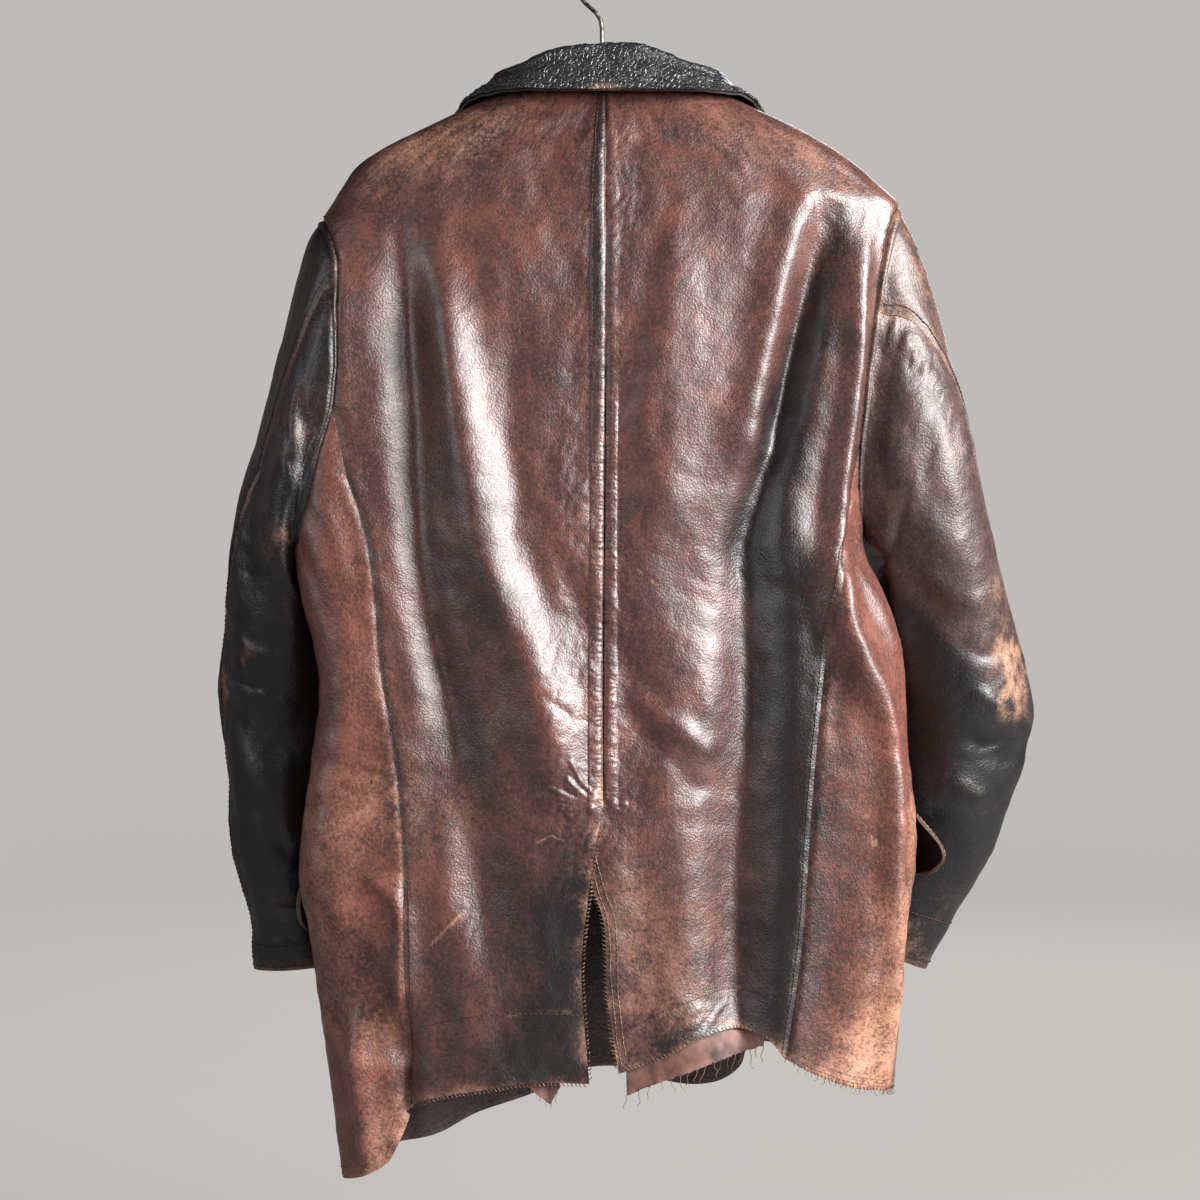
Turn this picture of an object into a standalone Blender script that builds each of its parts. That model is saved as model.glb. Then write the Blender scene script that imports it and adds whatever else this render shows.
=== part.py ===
"""Worn leather coat on a hanger.

The origin is the point of the hook that rests on a rail. +Z is up, +X is the wearer's right and +Y is the
way the front of the coat faces, in metres. The body is one form: a closed section at each height, with folds
added to it. Each body panel is an outline in (degrees round the body, height), laid on that form as a leather
wall. Degrees run from 0 at the right side over 90 at the centre back to 180 at the left side and 270 in front.
"""

import math

import bmesh
import bpy
import numpy as np
from mathutils import Vector, geometry

# Materials' thicknesses and the gap left at every seam.
LEATHER = 0.0016
COLLAR_LEATHER = 0.0018
LINING = 0.0010
SEAM_GAP = 0.0003

# Spacing of the facets, and metres of outline for each radian round the body.
AROUND = 0.28
STEP_AROUND = 0.040
STEP_DOWN = 0.056
SEAM_STEP = 0.034
SHOULDER_STEP = 0.018
PROBE = 0.0005

# Limits that keep an inset edge finite at a sharp corner and where the surface turns edge on.
SHARPEST_CORNER = 0.5
SLOWEST_SURFACE = 0.15
# A facet's point keeps this share of a step away from the piece's edge.
EDGE_CLEARANCE = 0.35

# Roundness of a section: 1 is an ellipse, less is squarer.
ROUND = 0.74
SHARP_DEGREES = 40

# height, left side, right side, depth of back, depth of front
SECTIONS = np.array([
    (-0.1060, -0.0780, 0.0900, 0.028, 0.034),
    (-0.1120, -0.0920, 0.1050, 0.031, 0.038),
    (-0.123, -0.114, 0.128, 0.036, 0.044),
    (-0.140, -0.150, 0.163, 0.044, 0.054),
    (-0.157, -0.184, 0.192, 0.050, 0.062),
    (-0.171, -0.204, 0.211, 0.054, 0.068),
    (-0.186, -0.214, 0.228, 0.057, 0.073),
    (-0.200, -0.222, 0.242, 0.060, 0.076),
    (-0.214, -0.230, 0.243, 0.062, 0.079),
    (-0.279, -0.237, 0.236, 0.068, 0.087),
    (-0.362, -0.244, 0.225, 0.072, 0.092),
    (-0.445, -0.249, 0.215, 0.075, 0.094),
    (-0.488, -0.250, 0.216, 0.077, 0.095),
    (-0.524, -0.246, 0.233, 0.078, 0.095),
    (-0.561, -0.236, 0.246, 0.079, 0.094),
    (-0.600, -0.229, 0.251, 0.080, 0.093),
    (-0.650, -0.234, 0.254, 0.081, 0.092),
    (-0.716, -0.241, 0.259, 0.082, 0.091),
    (-0.752, -0.244, 0.258, 0.082, 0.090),
    (-0.794, -0.239, 0.253, 0.082, 0.090),
    (-0.843, -0.234, 0.248, 0.082, 0.090),
    (-0.910, -0.226, 0.242, 0.082, 0.090),
    (-1.010, -0.212, 0.230, 0.080, 0.088),
])

# The largest folds: path, half width, height outwards (below zero for a trough). Paths on the back are given in
# (x, height), and those on the sides and the front in (degrees, height).
BACK_FOLDS = (
    (
        "left shoulder trough",
        ((-0.164, -0.190), (-0.157, -0.367), (-0.144, -0.528), (-0.112, -0.66), (-0.086, -0.85)),
        0.026, -0.011,
    ),
    (
        "left blade ridge",
        ((-0.140, -0.220), (-0.115, -0.367), (-0.078, -0.528), (-0.040, -0.640), (-0.012, -0.720)),
        0.024, 0.008,
    ),
    (
        "left inner ridge",
        ((-0.150, -0.700), (-0.130, -0.800), (-0.112, -0.900), (-0.108, -0.960)),
        0.030, 0.006,
    ),
    ("centre back hollow", ((0.002, -0.280), (0.002, -0.450), (0.001, -0.600), (0.0, -0.720)), 0.018, -0.004),
    ("right blade ridge", ((0.066, -0.220), (0.056, -0.340), (0.046, -0.480)), 0.024, 0.004),
    (
        "right inner ridge",
        ((0.166, -0.170), (0.142, -0.260), (0.126, -0.367), (0.094, -0.500), (0.070, -0.640)),
        0.024, 0.006,
    ),
    (
        "right trough",
        ((0.186, -0.180), (0.150, -0.367), (0.122, -0.480), (0.118, -0.61), (0.110, -0.77), (0.118, -0.95)),
        0.028, -0.017,
    ),
    (
        "right side ridge",
        ((0.210, -0.200), (0.204, -0.330), (0.186, -0.470), (0.196, -0.560), (0.228, -0.65), (0.228, -0.96)),
        0.024, 0.012,
    ),
)
ROUND_FOLDS = (
    ("left hem tube", ((148, -0.860), (145, -0.930), (145, -1.080)), 0.026, 0.013),
    ("left hem valley", ((127, -0.840), (129, -0.920), (130, -1.080)), 0.020, -0.011),
    ("left underarm tuck", ((160, -0.385), (167, -0.460), (166, -0.530), (160, -0.600)), 0.018, -0.008),
    ("right underarm tuck", ((20, -0.410), (16, -0.470), (14, -0.520), (10, -0.600)), 0.018, -0.006),
    ("left front trough", ((228, -0.240), (235, -0.500), (231, -0.800), (230, -1.050)), 0.030, -0.007),
    ("right front trough", ((-48, -0.230), (-54, -0.470), (-50, -0.900)), 0.030, -0.008),
    ("front overlap ridge", ((262, -0.280), (266, -0.550), (263, -0.800), (259, -1.020)), 0.034, 0.004),
)

# Seams and edges on the back, in (x, height), and round the body, in (degrees, height).
CENTRE_SEAM = ((0.003, -0.1085), (0.003, -0.290), (0.002, -0.450), (0.001, -0.570), (0.001, -0.688))
LEFT_SIDE_SEAM = (
    (-0.203, -0.429), (-0.189, -0.480), (-0.182, -0.528), (-0.178, -0.580), (-0.167, -0.649),
    (-0.160, -0.729), (-0.158, -0.809), (-0.158, -0.880), (-0.160, -0.941),
)
RIGHT_SIDE_SEAM = (
    (0.199, -0.450), (0.187, -0.490), (0.184, -0.530), (0.179, -0.580), (0.172, -0.650),
    (0.166, -0.728), (0.160, -0.810), (0.147, -0.896),
)
VENT_LEFT_EDGE = ((0.001, -0.688), (-0.008, -0.743), (-0.015, -0.799), (-0.016, -0.840), (-0.010, -0.914))
VENT_RIGHT_EDGE = (
    (0.001, -0.688), (-0.004, -0.697), (-0.016, -0.710), (-0.015, -0.730), (-0.007, -0.760), (0.002, -0.790),
    (0.004, -0.845), (0.013, -0.907),
)
HEM_BACK_LEFT = (
    (-0.010, -0.914), (-0.058, -0.914), (-0.098, -0.920), (-0.130, -0.926), (-0.150, -0.933), (-0.160, -0.941),
)
HEM_BACK_RIGHT = (
    (0.013, -0.907), (0.046, -0.895), (0.078, -0.879), (0.110, -0.873), (0.133, -0.880), (0.147, -0.896),
)
BACK_NECK_LEFT = ((0.003, -0.1085), (-0.040, -0.1082), (-0.066, -0.1075), (-0.079, -0.1065))
BACK_NECK_RIGHT = ((0.003, -0.1085), (0.048, -0.1082), (0.076, -0.1075), (0.091, -0.1065))
SHOULDER_LEFT = ((180, -0.1065), (180, -0.2145))
SHOULDER_RIGHT = ((0, -0.1065), (0, -0.2005))
HEM_FRONT_LEFT = (
    (129.7, -0.941), (134.5, -0.968), (140.0, -0.985), (153.7, -0.997), (180.0, -1.004), (205.0, -1.001),
    (219.6, -0.992), (235.2, -0.985), (246.7, -0.970), (259.1, -0.955), (269.2, -0.932), (278.0, -0.946),
    (286.0, -0.945), (291.5, -0.932), (293.0, -0.915),
)
HEM_FRONT_RIGHT = (
    (60.5, -0.896), (50.6, -0.911), (35.1, -0.923), (0.0, -0.931), (-30.0, -0.925), (-60.0, -0.909),
    (-100.0, -0.904), (-109.5, -0.905),
)
# Each armhole goes from the shoulder seam down the back to the side seam, round under the arm, and up in front.
ARMHOLE_LEFT_BACK = (
    (180.0, -0.2145), (168.6, -0.217), (156.6, -0.228), (149.5, -0.247), (146.6, -0.284), (144.4, -0.330),
    (144.6, -0.372),
)
ARMHOLE_LEFT_UNDER = ((144.6, -0.372), (149.1, -0.414), (153.0, -0.450), (161.0, -0.481), (180.0, -0.488))
ARMHOLE_LEFT_FRONT = (
    (180.0, -0.488), (198.0, -0.480), (209.0, -0.450), (217.0, -0.390), (220.0, -0.330), (216.0, -0.270),
    (206.0, -0.232), (180.0, -0.2145),
)
ARMHOLE_RIGHT_BACK = (
    (0.0, -0.2005), (8.0, -0.207), (16.0, -0.221), (20.5, -0.250), (21.3, -0.294), (19.9, -0.348),
    (17.0, -0.402),
)
ARMHOLE_RIGHT_UNDER = ((17.0, -0.402), (14.0, -0.430), (8.5, -0.456), (0.0, -0.468))
ARMHOLE_RIGHT_FRONT = (
    (0.0, -0.468), (-18.0, -0.462), (-30.0, -0.430), (-38.0, -0.370), (-40.0, -0.310), (-36.0, -0.255),
    (-26.0, -0.220), (0.0, -0.2005),
)
NECKLINE_LEFT = (
    (180.0, -0.1065), (212.0, -0.1140), (231.0, -0.1250), (245.0, -0.1450), (254.0, -0.1750), (262.0, -0.2100),
    (268.0, -0.2400),
)
NECKLINE_RIGHT = (
    (0.0, -0.1065), (-32.0, -0.1140), (-51.0, -0.1250), (-65.0, -0.1450), (-74.0, -0.1750), (-81.0, -0.2050),
    (-88.0, -0.2350),
)
OVERLAP_TOP_LEFT = ((268.0, -0.240), (278.0, -0.252), (287.0, -0.262))
OVERLAP_EDGE_LEFT = ((287.0, -0.262), (288.5, -0.500), (291.0, -0.750), (293.0, -0.915))
OVERLAP_TOP_RIGHT = ((-88.0, -0.235), (-98.0, -0.247), (-106.5, -0.256))
OVERLAP_EDGE_RIGHT = ((-106.5, -0.256), (-108.0, -0.500), (-109.0, -0.750), (-109.5, -0.905))

# The left front laps over the right one, and the right half of the vent lies under the left one.
LAP_LIFT = 0.0034
LAP_FROM, LAP_TO = 236.0, 248.0
VENT_TUCK = 0.0036
VENT_TUCK_TOP, VENT_TUCK_FULL = -0.660, -0.694
VENT_TUCK_FROM, VENT_TUCK_TO = 80.0, 88.5


def through(x, xs, ys):
    """A smooth curve through the points (xs, ys), read at x."""
    xs, ys = np.asarray(xs, float), np.asarray(ys, float)
    if xs[0] > xs[-1]:
        xs, ys = xs[::-1], ys[::-1]
    slope = np.gradient(ys, xs)
    i = np.clip(np.searchsorted(xs, x) - 1, 0, len(xs) - 2)
    width = xs[i + 1] - xs[i]
    t = np.clip((x - xs[i]) / width, 0, 1)
    ends = ys[i] * (1 + 2 * t) * (1 - t) ** 2 + ys[i + 1] * t * t * (3 - 2 * t)
    return ends + width * (slope[i] * t * (1 - t) ** 2 - slope[i + 1] * t * t * (1 - t))


def smooth(t):
    t = np.clip(t, 0, 1)
    return t * t * (3 - 2 * t)


def along(points, spacing=None, count=None):
    """Points at equal distances along the smooth curve through these points."""
    points = np.array(points, float)
    index = np.arange(len(points))
    fine = np.linspace(0, len(points) - 1, 24 * len(points))
    curve = np.column_stack([through(fine, index, column) for column in points.T])
    run = np.concatenate([[0], np.cumsum(np.linalg.norm(np.diff(curve, axis=0), axis=1))])
    if count is None:
        count = max(1, round(run[-1] / spacing))
    at = np.linspace(0, run[-1], count + 1)
    return np.column_stack([np.interp(at, run, column) for column in curve.T])


def section(height):
    """Left side, right side, depth of back and depth of front at each height."""
    return [through(height, SECTIONS[:, 0], SECTIONS[:, column]) for column in range(1, 5)]


def flat(rows, spacing=SEAM_STEP):
    """A line given in (degrees, height), as points of (metres round the body, height)."""
    rows = np.array(rows, float)
    rows[:, 0] = np.radians(rows[:, 0]) * AROUND
    return along(rows, spacing)


def on_back(rows, spacing=SEAM_STEP):
    """A line on the back given in (x, height), as points of (metres round the body, height)."""
    points = along(rows, spacing)
    left, right, _, _ = section(points[:, 1])
    share = np.clip((points[:, 0] - (left + right) / 2) / ((right - left) / 2), -1, 1)
    points[:, 0] = np.arccos(np.sign(share) * np.abs(share) ** (1 / ROUND)) * AROUND
    return points


FOLD_PATHS = [(on_back(rows), half_width, height) for _, rows, half_width, height in BACK_FOLDS]
FOLD_PATHS += [(flat(rows), half_width, height) for _, rows, half_width, height in ROUND_FOLDS]


def fold_height(place):
    """How far the folds stand out of the body at each (metres round the body, height)."""
    total = np.zeros(len(place))
    turn = 2 * math.pi * AROUND
    for path, half_width, height in FOLD_PATHS:
        middle = path[:, 0].mean()
        here = place.copy()
        here[:, 0] = middle + (place[:, 0] - middle + turn / 2) % turn - turn / 2
        nearest = np.full(len(here), 1.0)
        travelled = np.zeros(len(here))
        for k, (start, end) in enumerate(zip(path[:-1], path[1:])):
            run = end - start
            t = np.clip(((here - start) @ run) / (run @ run), 0, 1)
            distance = np.linalg.norm(here - start - t[:, None] * run, axis=1)
            closer = distance < nearest
            nearest = np.where(closer, distance, nearest)
            travelled = np.where(closer, (k + t) / (len(path) - 1), travelled)
        ends = smooth(travelled / 0.2) * smooth((1 - travelled) / 0.15)
        total += height * ends * np.exp(-((nearest / half_width) ** 2))
    return total


def body(place, lift=0.0):
    """The middle of the leather at each (metres round the body, height), moved outwards by lift."""
    place = np.asarray(place, float)
    angle, height = place[:, 0] / AROUND, place[:, 1]
    left, right, back, front = section(height)
    half = (right - left) / 2
    cosine, sine = np.cos(angle), np.sin(angle)
    across = np.sign(cosine) * np.abs(cosine) ** ROUND
    out = np.sign(sine) * np.abs(sine) ** ROUND
    depth = np.where(sine > 0, back, front)
    # The outward direction of a section, which the folds and lifts move along.
    power = 2 / ROUND - 1
    nx = np.sign(across) * np.abs(across) ** power / half
    ny = -np.sign(out) * np.abs(out) ** power / depth
    size = np.hypot(nx, ny)
    move = fold_height(place) + lift
    x = (left + right) / 2 + half * across + move * nx / size
    y = -depth * out + move * ny / size
    return np.column_stack([x, y, height])


def lap_lift(place):
    degrees = np.degrees(place[:, 0] / AROUND)
    return LAP_LIFT * smooth((degrees - LAP_FROM) / (LAP_TO - LAP_FROM))


def vent_tuck(place):
    degrees = np.degrees(place[:, 0] / AROUND)
    down = smooth((VENT_TUCK_TOP - place[:, 1]) / (VENT_TUCK_TOP - VENT_TUCK_FULL))
    return -VENT_TUCK * down * smooth((degrees - VENT_TUCK_FROM) / (VENT_TUCK_TO - VENT_TUCK_FROM))


def left_front_surface(place):
    return body(place, lap_lift(place))


def right_back_surface(place):
    return body(place, vent_tuck(place))


def outward(surface, place):
    """Unit normals of a surface that faces away from the wearer."""
    du = surface(place + (PROBE, 0)) - surface(place - (PROBE, 0))
    dv = surface(place + (0, PROBE)) - surface(place - (0, PROBE))
    normal = np.cross(dv, du)
    return normal / np.linalg.norm(normal, axis=1)[:, None]


def turning(loop):
    """1 for a loop that runs anticlockwise, -1 for one that runs clockwise."""
    x, y = loop.T
    return np.sign((x * np.roll(y, -1) - np.roll(x, -1) * y).sum())


def inset(loop, surface, amount):
    """The loop moved inwards, so that its edge moves by amount on the surface."""
    before = loop - np.roll(loop, 1, axis=0)
    after = np.roll(loop, -1, axis=0) - loop
    before /= np.linalg.norm(before, axis=1)[:, None]
    after /= np.linalg.norm(after, axis=1)[:, None]
    tangent = before + after
    tangent /= np.linalg.norm(tangent, axis=1)[:, None]
    inwards = turning(loop) * np.column_stack([-tangent[:, 1], tangent[:, 0]])
    corner = np.maximum((tangent * before).sum(axis=1), SHARPEST_CORNER)
    reach = surface(loop + inwards * PROBE) - surface(loop)
    speed = np.maximum(np.linalg.norm(reach, axis=1) / PROBE, SLOWEST_SURFACE)
    return loop + inwards * (amount / corner / speed)[:, None]


def inside(loop, points):
    """Which points lie inside the loop."""
    x, y = points.T
    crossings = np.zeros(len(points), int)
    for (x0, y0), (x1, y1) in zip(loop, np.roll(loop, -1, axis=0)):
        if y0 == y1:
            continue
        spans = (y0 > y) != (y1 > y)
        crossings += spans & (x < x0 + (y - y0) * (x1 - x0) / (y1 - y0))
    return crossings % 2 == 1


def distance_to(loop, points):
    nearest = np.full(len(points), 9.0)
    for start, end in zip(loop, np.roll(loop, -1, axis=0)):
        run = end - start
        t = np.clip(((points - start) @ run) / (run @ run), 0, 1)
        nearest = np.minimum(nearest, np.linalg.norm(points - start - t[:, None] * run, axis=1))
    return nearest


def cut_piece(loop):
    """Points and triangles that fill a flat outline."""
    low, high = loop.min(axis=0), loop.max(axis=0)
    across = np.arange(math.floor(low[0] / STEP_AROUND), high[0] / STEP_AROUND) * STEP_AROUND
    down = np.arange(math.floor(low[1] / STEP_DOWN), high[1] / STEP_DOWN) * STEP_DOWN
    grid = np.array([(a, d) for d in down for a in across])
    grid = grid[inside(loop, grid)]
    grid = grid[distance_to(loop, grid) > EDGE_CLEARANCE * STEP_AROUND]
    points = [Vector(point) for point in np.concatenate([loop, grid])]
    found = geometry.delaunay_2d_cdt(points, [], [list(range(len(loop)))], 1, 1e-7)
    return np.array([tuple(point) for point in found[0]]), [tuple(face) for face in found[2]]


def grid_faces(rows, width):
    """Triangles of a grid of points given row after row."""
    faces = []
    for first in range((rows - 1) * width):
        if first % width < width - 1:
            opposite = first + width + 1
            faces.append((first, first + 1, opposite))
            faces.append((first, opposite, opposite - 1))
    return faces


def wall_object(name, middle, normal, faces, thickness, material):
    """A closed wall: the faces on both sides of the middle surface, joined round their edges."""
    corners = middle[np.array([face[:3] for face in faces])]
    turned = np.cross(corners[:, 1] - corners[:, 0], corners[:, 2] - corners[:, 0])
    if (turned * normal[[face[0] for face in faces]]).sum() < 0:
        faces = [face[::-1] for face in faces]
    bm = bmesh.new()
    outer = [bm.verts.new(point) for point in middle + normal * thickness / 2]
    inner = [bm.verts.new(point) for point in middle - normal * thickness / 2]
    uses = {}
    for face in faces:
        bm.faces.new([outer[i] for i in face])
        bm.faces.new([inner[i] for i in reversed(face)])
        for i, j in zip(face, face[1:] + face[:1]):
            uses.setdefault(frozenset((i, j)), []).append((i, j))
    for used in uses.values():
        if len(used) == 2:
            continue
        # Both walls of a seam split this edge face the same way, from the lower outer corner.
        i, j = used[0]
        if middle[i][2] < middle[j][2]:
            bm.faces.new((outer[j], outer[i], inner[j]))
            bm.faces.new((outer[i], inner[i], inner[j]))
        else:
            bm.faces.new((outer[j], outer[i], inner[i]))
            bm.faces.new((outer[j], inner[i], inner[j]))
    finished(name, bm, material)


def finished(name, bm, material):
    """Links the mesh as an object, smooth but for its sharp edges."""
    mesh = bpy.data.meshes.new(name)
    bm.to_mesh(mesh)
    bm.free()
    mesh.shade_smooth()
    mesh.set_sharp_from_angle(angle=math.radians(SHARP_DEGREES))
    mesh.materials.append(material)
    item = bpy.data.objects.new(name, mesh)
    bpy.context.scene.collection.objects.link(item)


def body_panel(name, surface, material, *seams):
    """One cut piece of the body: its seams end to end, laid on the surface."""
    outline = np.concatenate([seam[:-1] for seam in seams])
    points, faces = cut_piece(inset(outline, surface, SEAM_GAP / 2))
    wall_object(name, surface(points), outward(surface, points), faces, LEATHER, material)


def finish(name, colour, roughness, metallic=0.0):
    material = bpy.data.materials.new(name)
    material.use_nodes = True
    shader = material.node_tree.nodes["Principled BSDF"]
    shader.inputs["Base Color"].default_value = (*colour, 1.0)
    shader.inputs["Roughness"].default_value = roughness
    shader.inputs["Metallic"].default_value = metallic
    material.diffuse_color = (*colour, 1.0)
    return material


def clear_scene():
    for item in list(bpy.data.objects):
        bpy.data.objects.remove(item, do_unlink=True)


def side_seam(armhole, rows):
    """The side-back seam: from the lowest point of the armhole's back, down the rows."""
    top = flat(armhole)[-1:]
    lower = on_back(rows)
    return np.concatenate([top, lower])


def build_body():
    """Two backs and two fronts, sewn at the centre, the sides and the shoulders."""
    brown = finish("brown_leather", (0.120, 0.042, 0.026), 0.40)
    worn = finish("brown_leather_front", (0.135, 0.048, 0.028), 0.42)
    centre = on_back(CENTRE_SEAM)
    left_side = side_seam(ARMHOLE_LEFT_BACK, LEFT_SIDE_SEAM)
    right_side = side_seam(ARMHOLE_RIGHT_BACK, RIGHT_SIDE_SEAM)
    left_shoulder = flat(SHOULDER_LEFT, SHOULDER_STEP)
    right_shoulder = flat(SHOULDER_RIGHT, SHOULDER_STEP)
    body_panel(
        "back_left", body, brown,
        on_back(BACK_NECK_LEFT), left_shoulder, flat(ARMHOLE_LEFT_BACK), left_side,
        on_back(HEM_BACK_LEFT)[::-1], on_back(VENT_LEFT_EDGE)[::-1], centre[::-1],
    )
    body_panel(
        "back_right", right_back_surface, brown,
        on_back(BACK_NECK_RIGHT), right_shoulder, flat(ARMHOLE_RIGHT_BACK), right_side,
        on_back(HEM_BACK_RIGHT)[::-1], on_back(VENT_RIGHT_EDGE)[::-1], centre[::-1],
    )
    body_panel(
        "front_left", left_front_surface, worn,
        flat(ARMHOLE_LEFT_UNDER), flat(ARMHOLE_LEFT_FRONT), left_shoulder[::-1], flat(NECKLINE_LEFT),
        flat(OVERLAP_TOP_LEFT), flat(OVERLAP_EDGE_LEFT), flat(HEM_FRONT_LEFT)[::-1], left_side[::-1],
    )
    body_panel(
        "front_right", body, worn,
        flat(ARMHOLE_RIGHT_UNDER), flat(ARMHOLE_RIGHT_FRONT), right_shoulder[::-1], flat(NECKLINE_RIGHT),
        flat(OVERLAP_TOP_RIGHT), flat(OVERLAP_EDGE_RIGHT), flat(HEM_FRONT_RIGHT)[::-1], right_side[::-1],
    )


# Sleeves. Each row is a ring, from the armhole to the cuff: outer edge x, z, inner edge x, z, middle y, half depth.
LEFT_RINGS = (
    (-0.230, -0.2145, -0.251, -0.488, 0.005, 0.060),
    (-0.243, -0.235, -0.254, -0.497, 0.008, 0.064),
    (-0.262, -0.300, -0.256, -0.506, 0.013, 0.069),
    (-0.282, -0.372, -0.257, -0.518, 0.019, 0.071),
    (-0.303, -0.440, -0.252, -0.536, 0.028, 0.070),
    (-0.315, -0.505, -0.242, -0.562, 0.040, 0.066),
    (-0.322, -0.565, -0.234, -0.596, 0.051, 0.061),
    (-0.326, -0.615, -0.231, -0.636, 0.060, 0.057),
    (-0.321, -0.680, -0.230, -0.692, 0.069, 0.055),
    (-0.315, -0.745, -0.230, -0.750, 0.077, 0.052),
    (-0.303, -0.800, -0.224, -0.798, 0.086, 0.049),
    (-0.299, -0.845, -0.220, -0.838, 0.091, 0.047),
)
RIGHT_RINGS = (
    (0.243, -0.2005, 0.216, -0.468, 0.005, 0.060),
    (0.259, -0.232, 0.222, -0.480, 0.010, 0.064),
    (0.283, -0.300, 0.230, -0.492, 0.018, 0.068),
    (0.303, -0.370, 0.238, -0.506, 0.026, 0.070),
    (0.320, -0.440, 0.244, -0.524, 0.036, 0.068),
    (0.338, -0.505, 0.247, -0.552, 0.048, 0.063),
    (0.353, -0.560, 0.248, -0.590, 0.058, 0.060),
    (0.365, -0.612, 0.249, -0.632, 0.067, 0.058),
    (0.367, -0.656, 0.250, -0.672, 0.077, 0.055),
    (0.352, -0.702, 0.244, -0.706, 0.088, 0.052),
    (0.325, -0.770, 0.231, -0.745, 0.104, 0.048),
    (0.283, -0.850, 0.198, -0.812, 0.124, 0.045),
)
BLEND_RINGS = 0.42
SLEEVE_ROWS = 14
ELBOW_SEAM_ROW = 7

# Sleeve folds: path of (row share from the armhole to the cuff, degrees from the outer edge over the back).
LEFT_SLEEVE_FOLDS = (
    ("drape under the arm", ((0.16, 60), (0.30, 92), (0.40, 128)), 0.024, 0.009),
    ("hollow beside the drape", ((0.14, 20), (0.30, 44), (0.48, 70)), 0.024, -0.009),
    ("elbow crease", ((0.60, 0), (0.66, 70), (0.64, 140)), 0.020, -0.005),
)
RIGHT_SLEEVE_FOLDS = (
    ("upper arm ridge", ((0.06, 88), (0.22, 72), (0.42, 62), (0.58, 40)), 0.024, 0.006),
    ("hollow under the arm", ((0.16, 128), (0.34, 118), (0.52, 100)), 0.024, -0.009),
    ("elbow fold", ((0.70, -20), (0.73, 40), (0.70, 100)), 0.018, -0.005),
)
SLEEVE_LENGTH = 0.66
SLEEVE_RADIUS = 0.055
PROBE_DEGREES, PROBE_SHARE = 0.5, 0.002

# Arm seams: share of the armhole at which each starts. The back one then moves to its own degrees by a share
# of the sleeve's length.
BACK_ARM_SHARE, FRONT_ARM_SHARE = 0.17, 0.66
BACK_ARM_END = {"left": (14.0, 0.68), "right": (-14.0, 0.45)}


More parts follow.
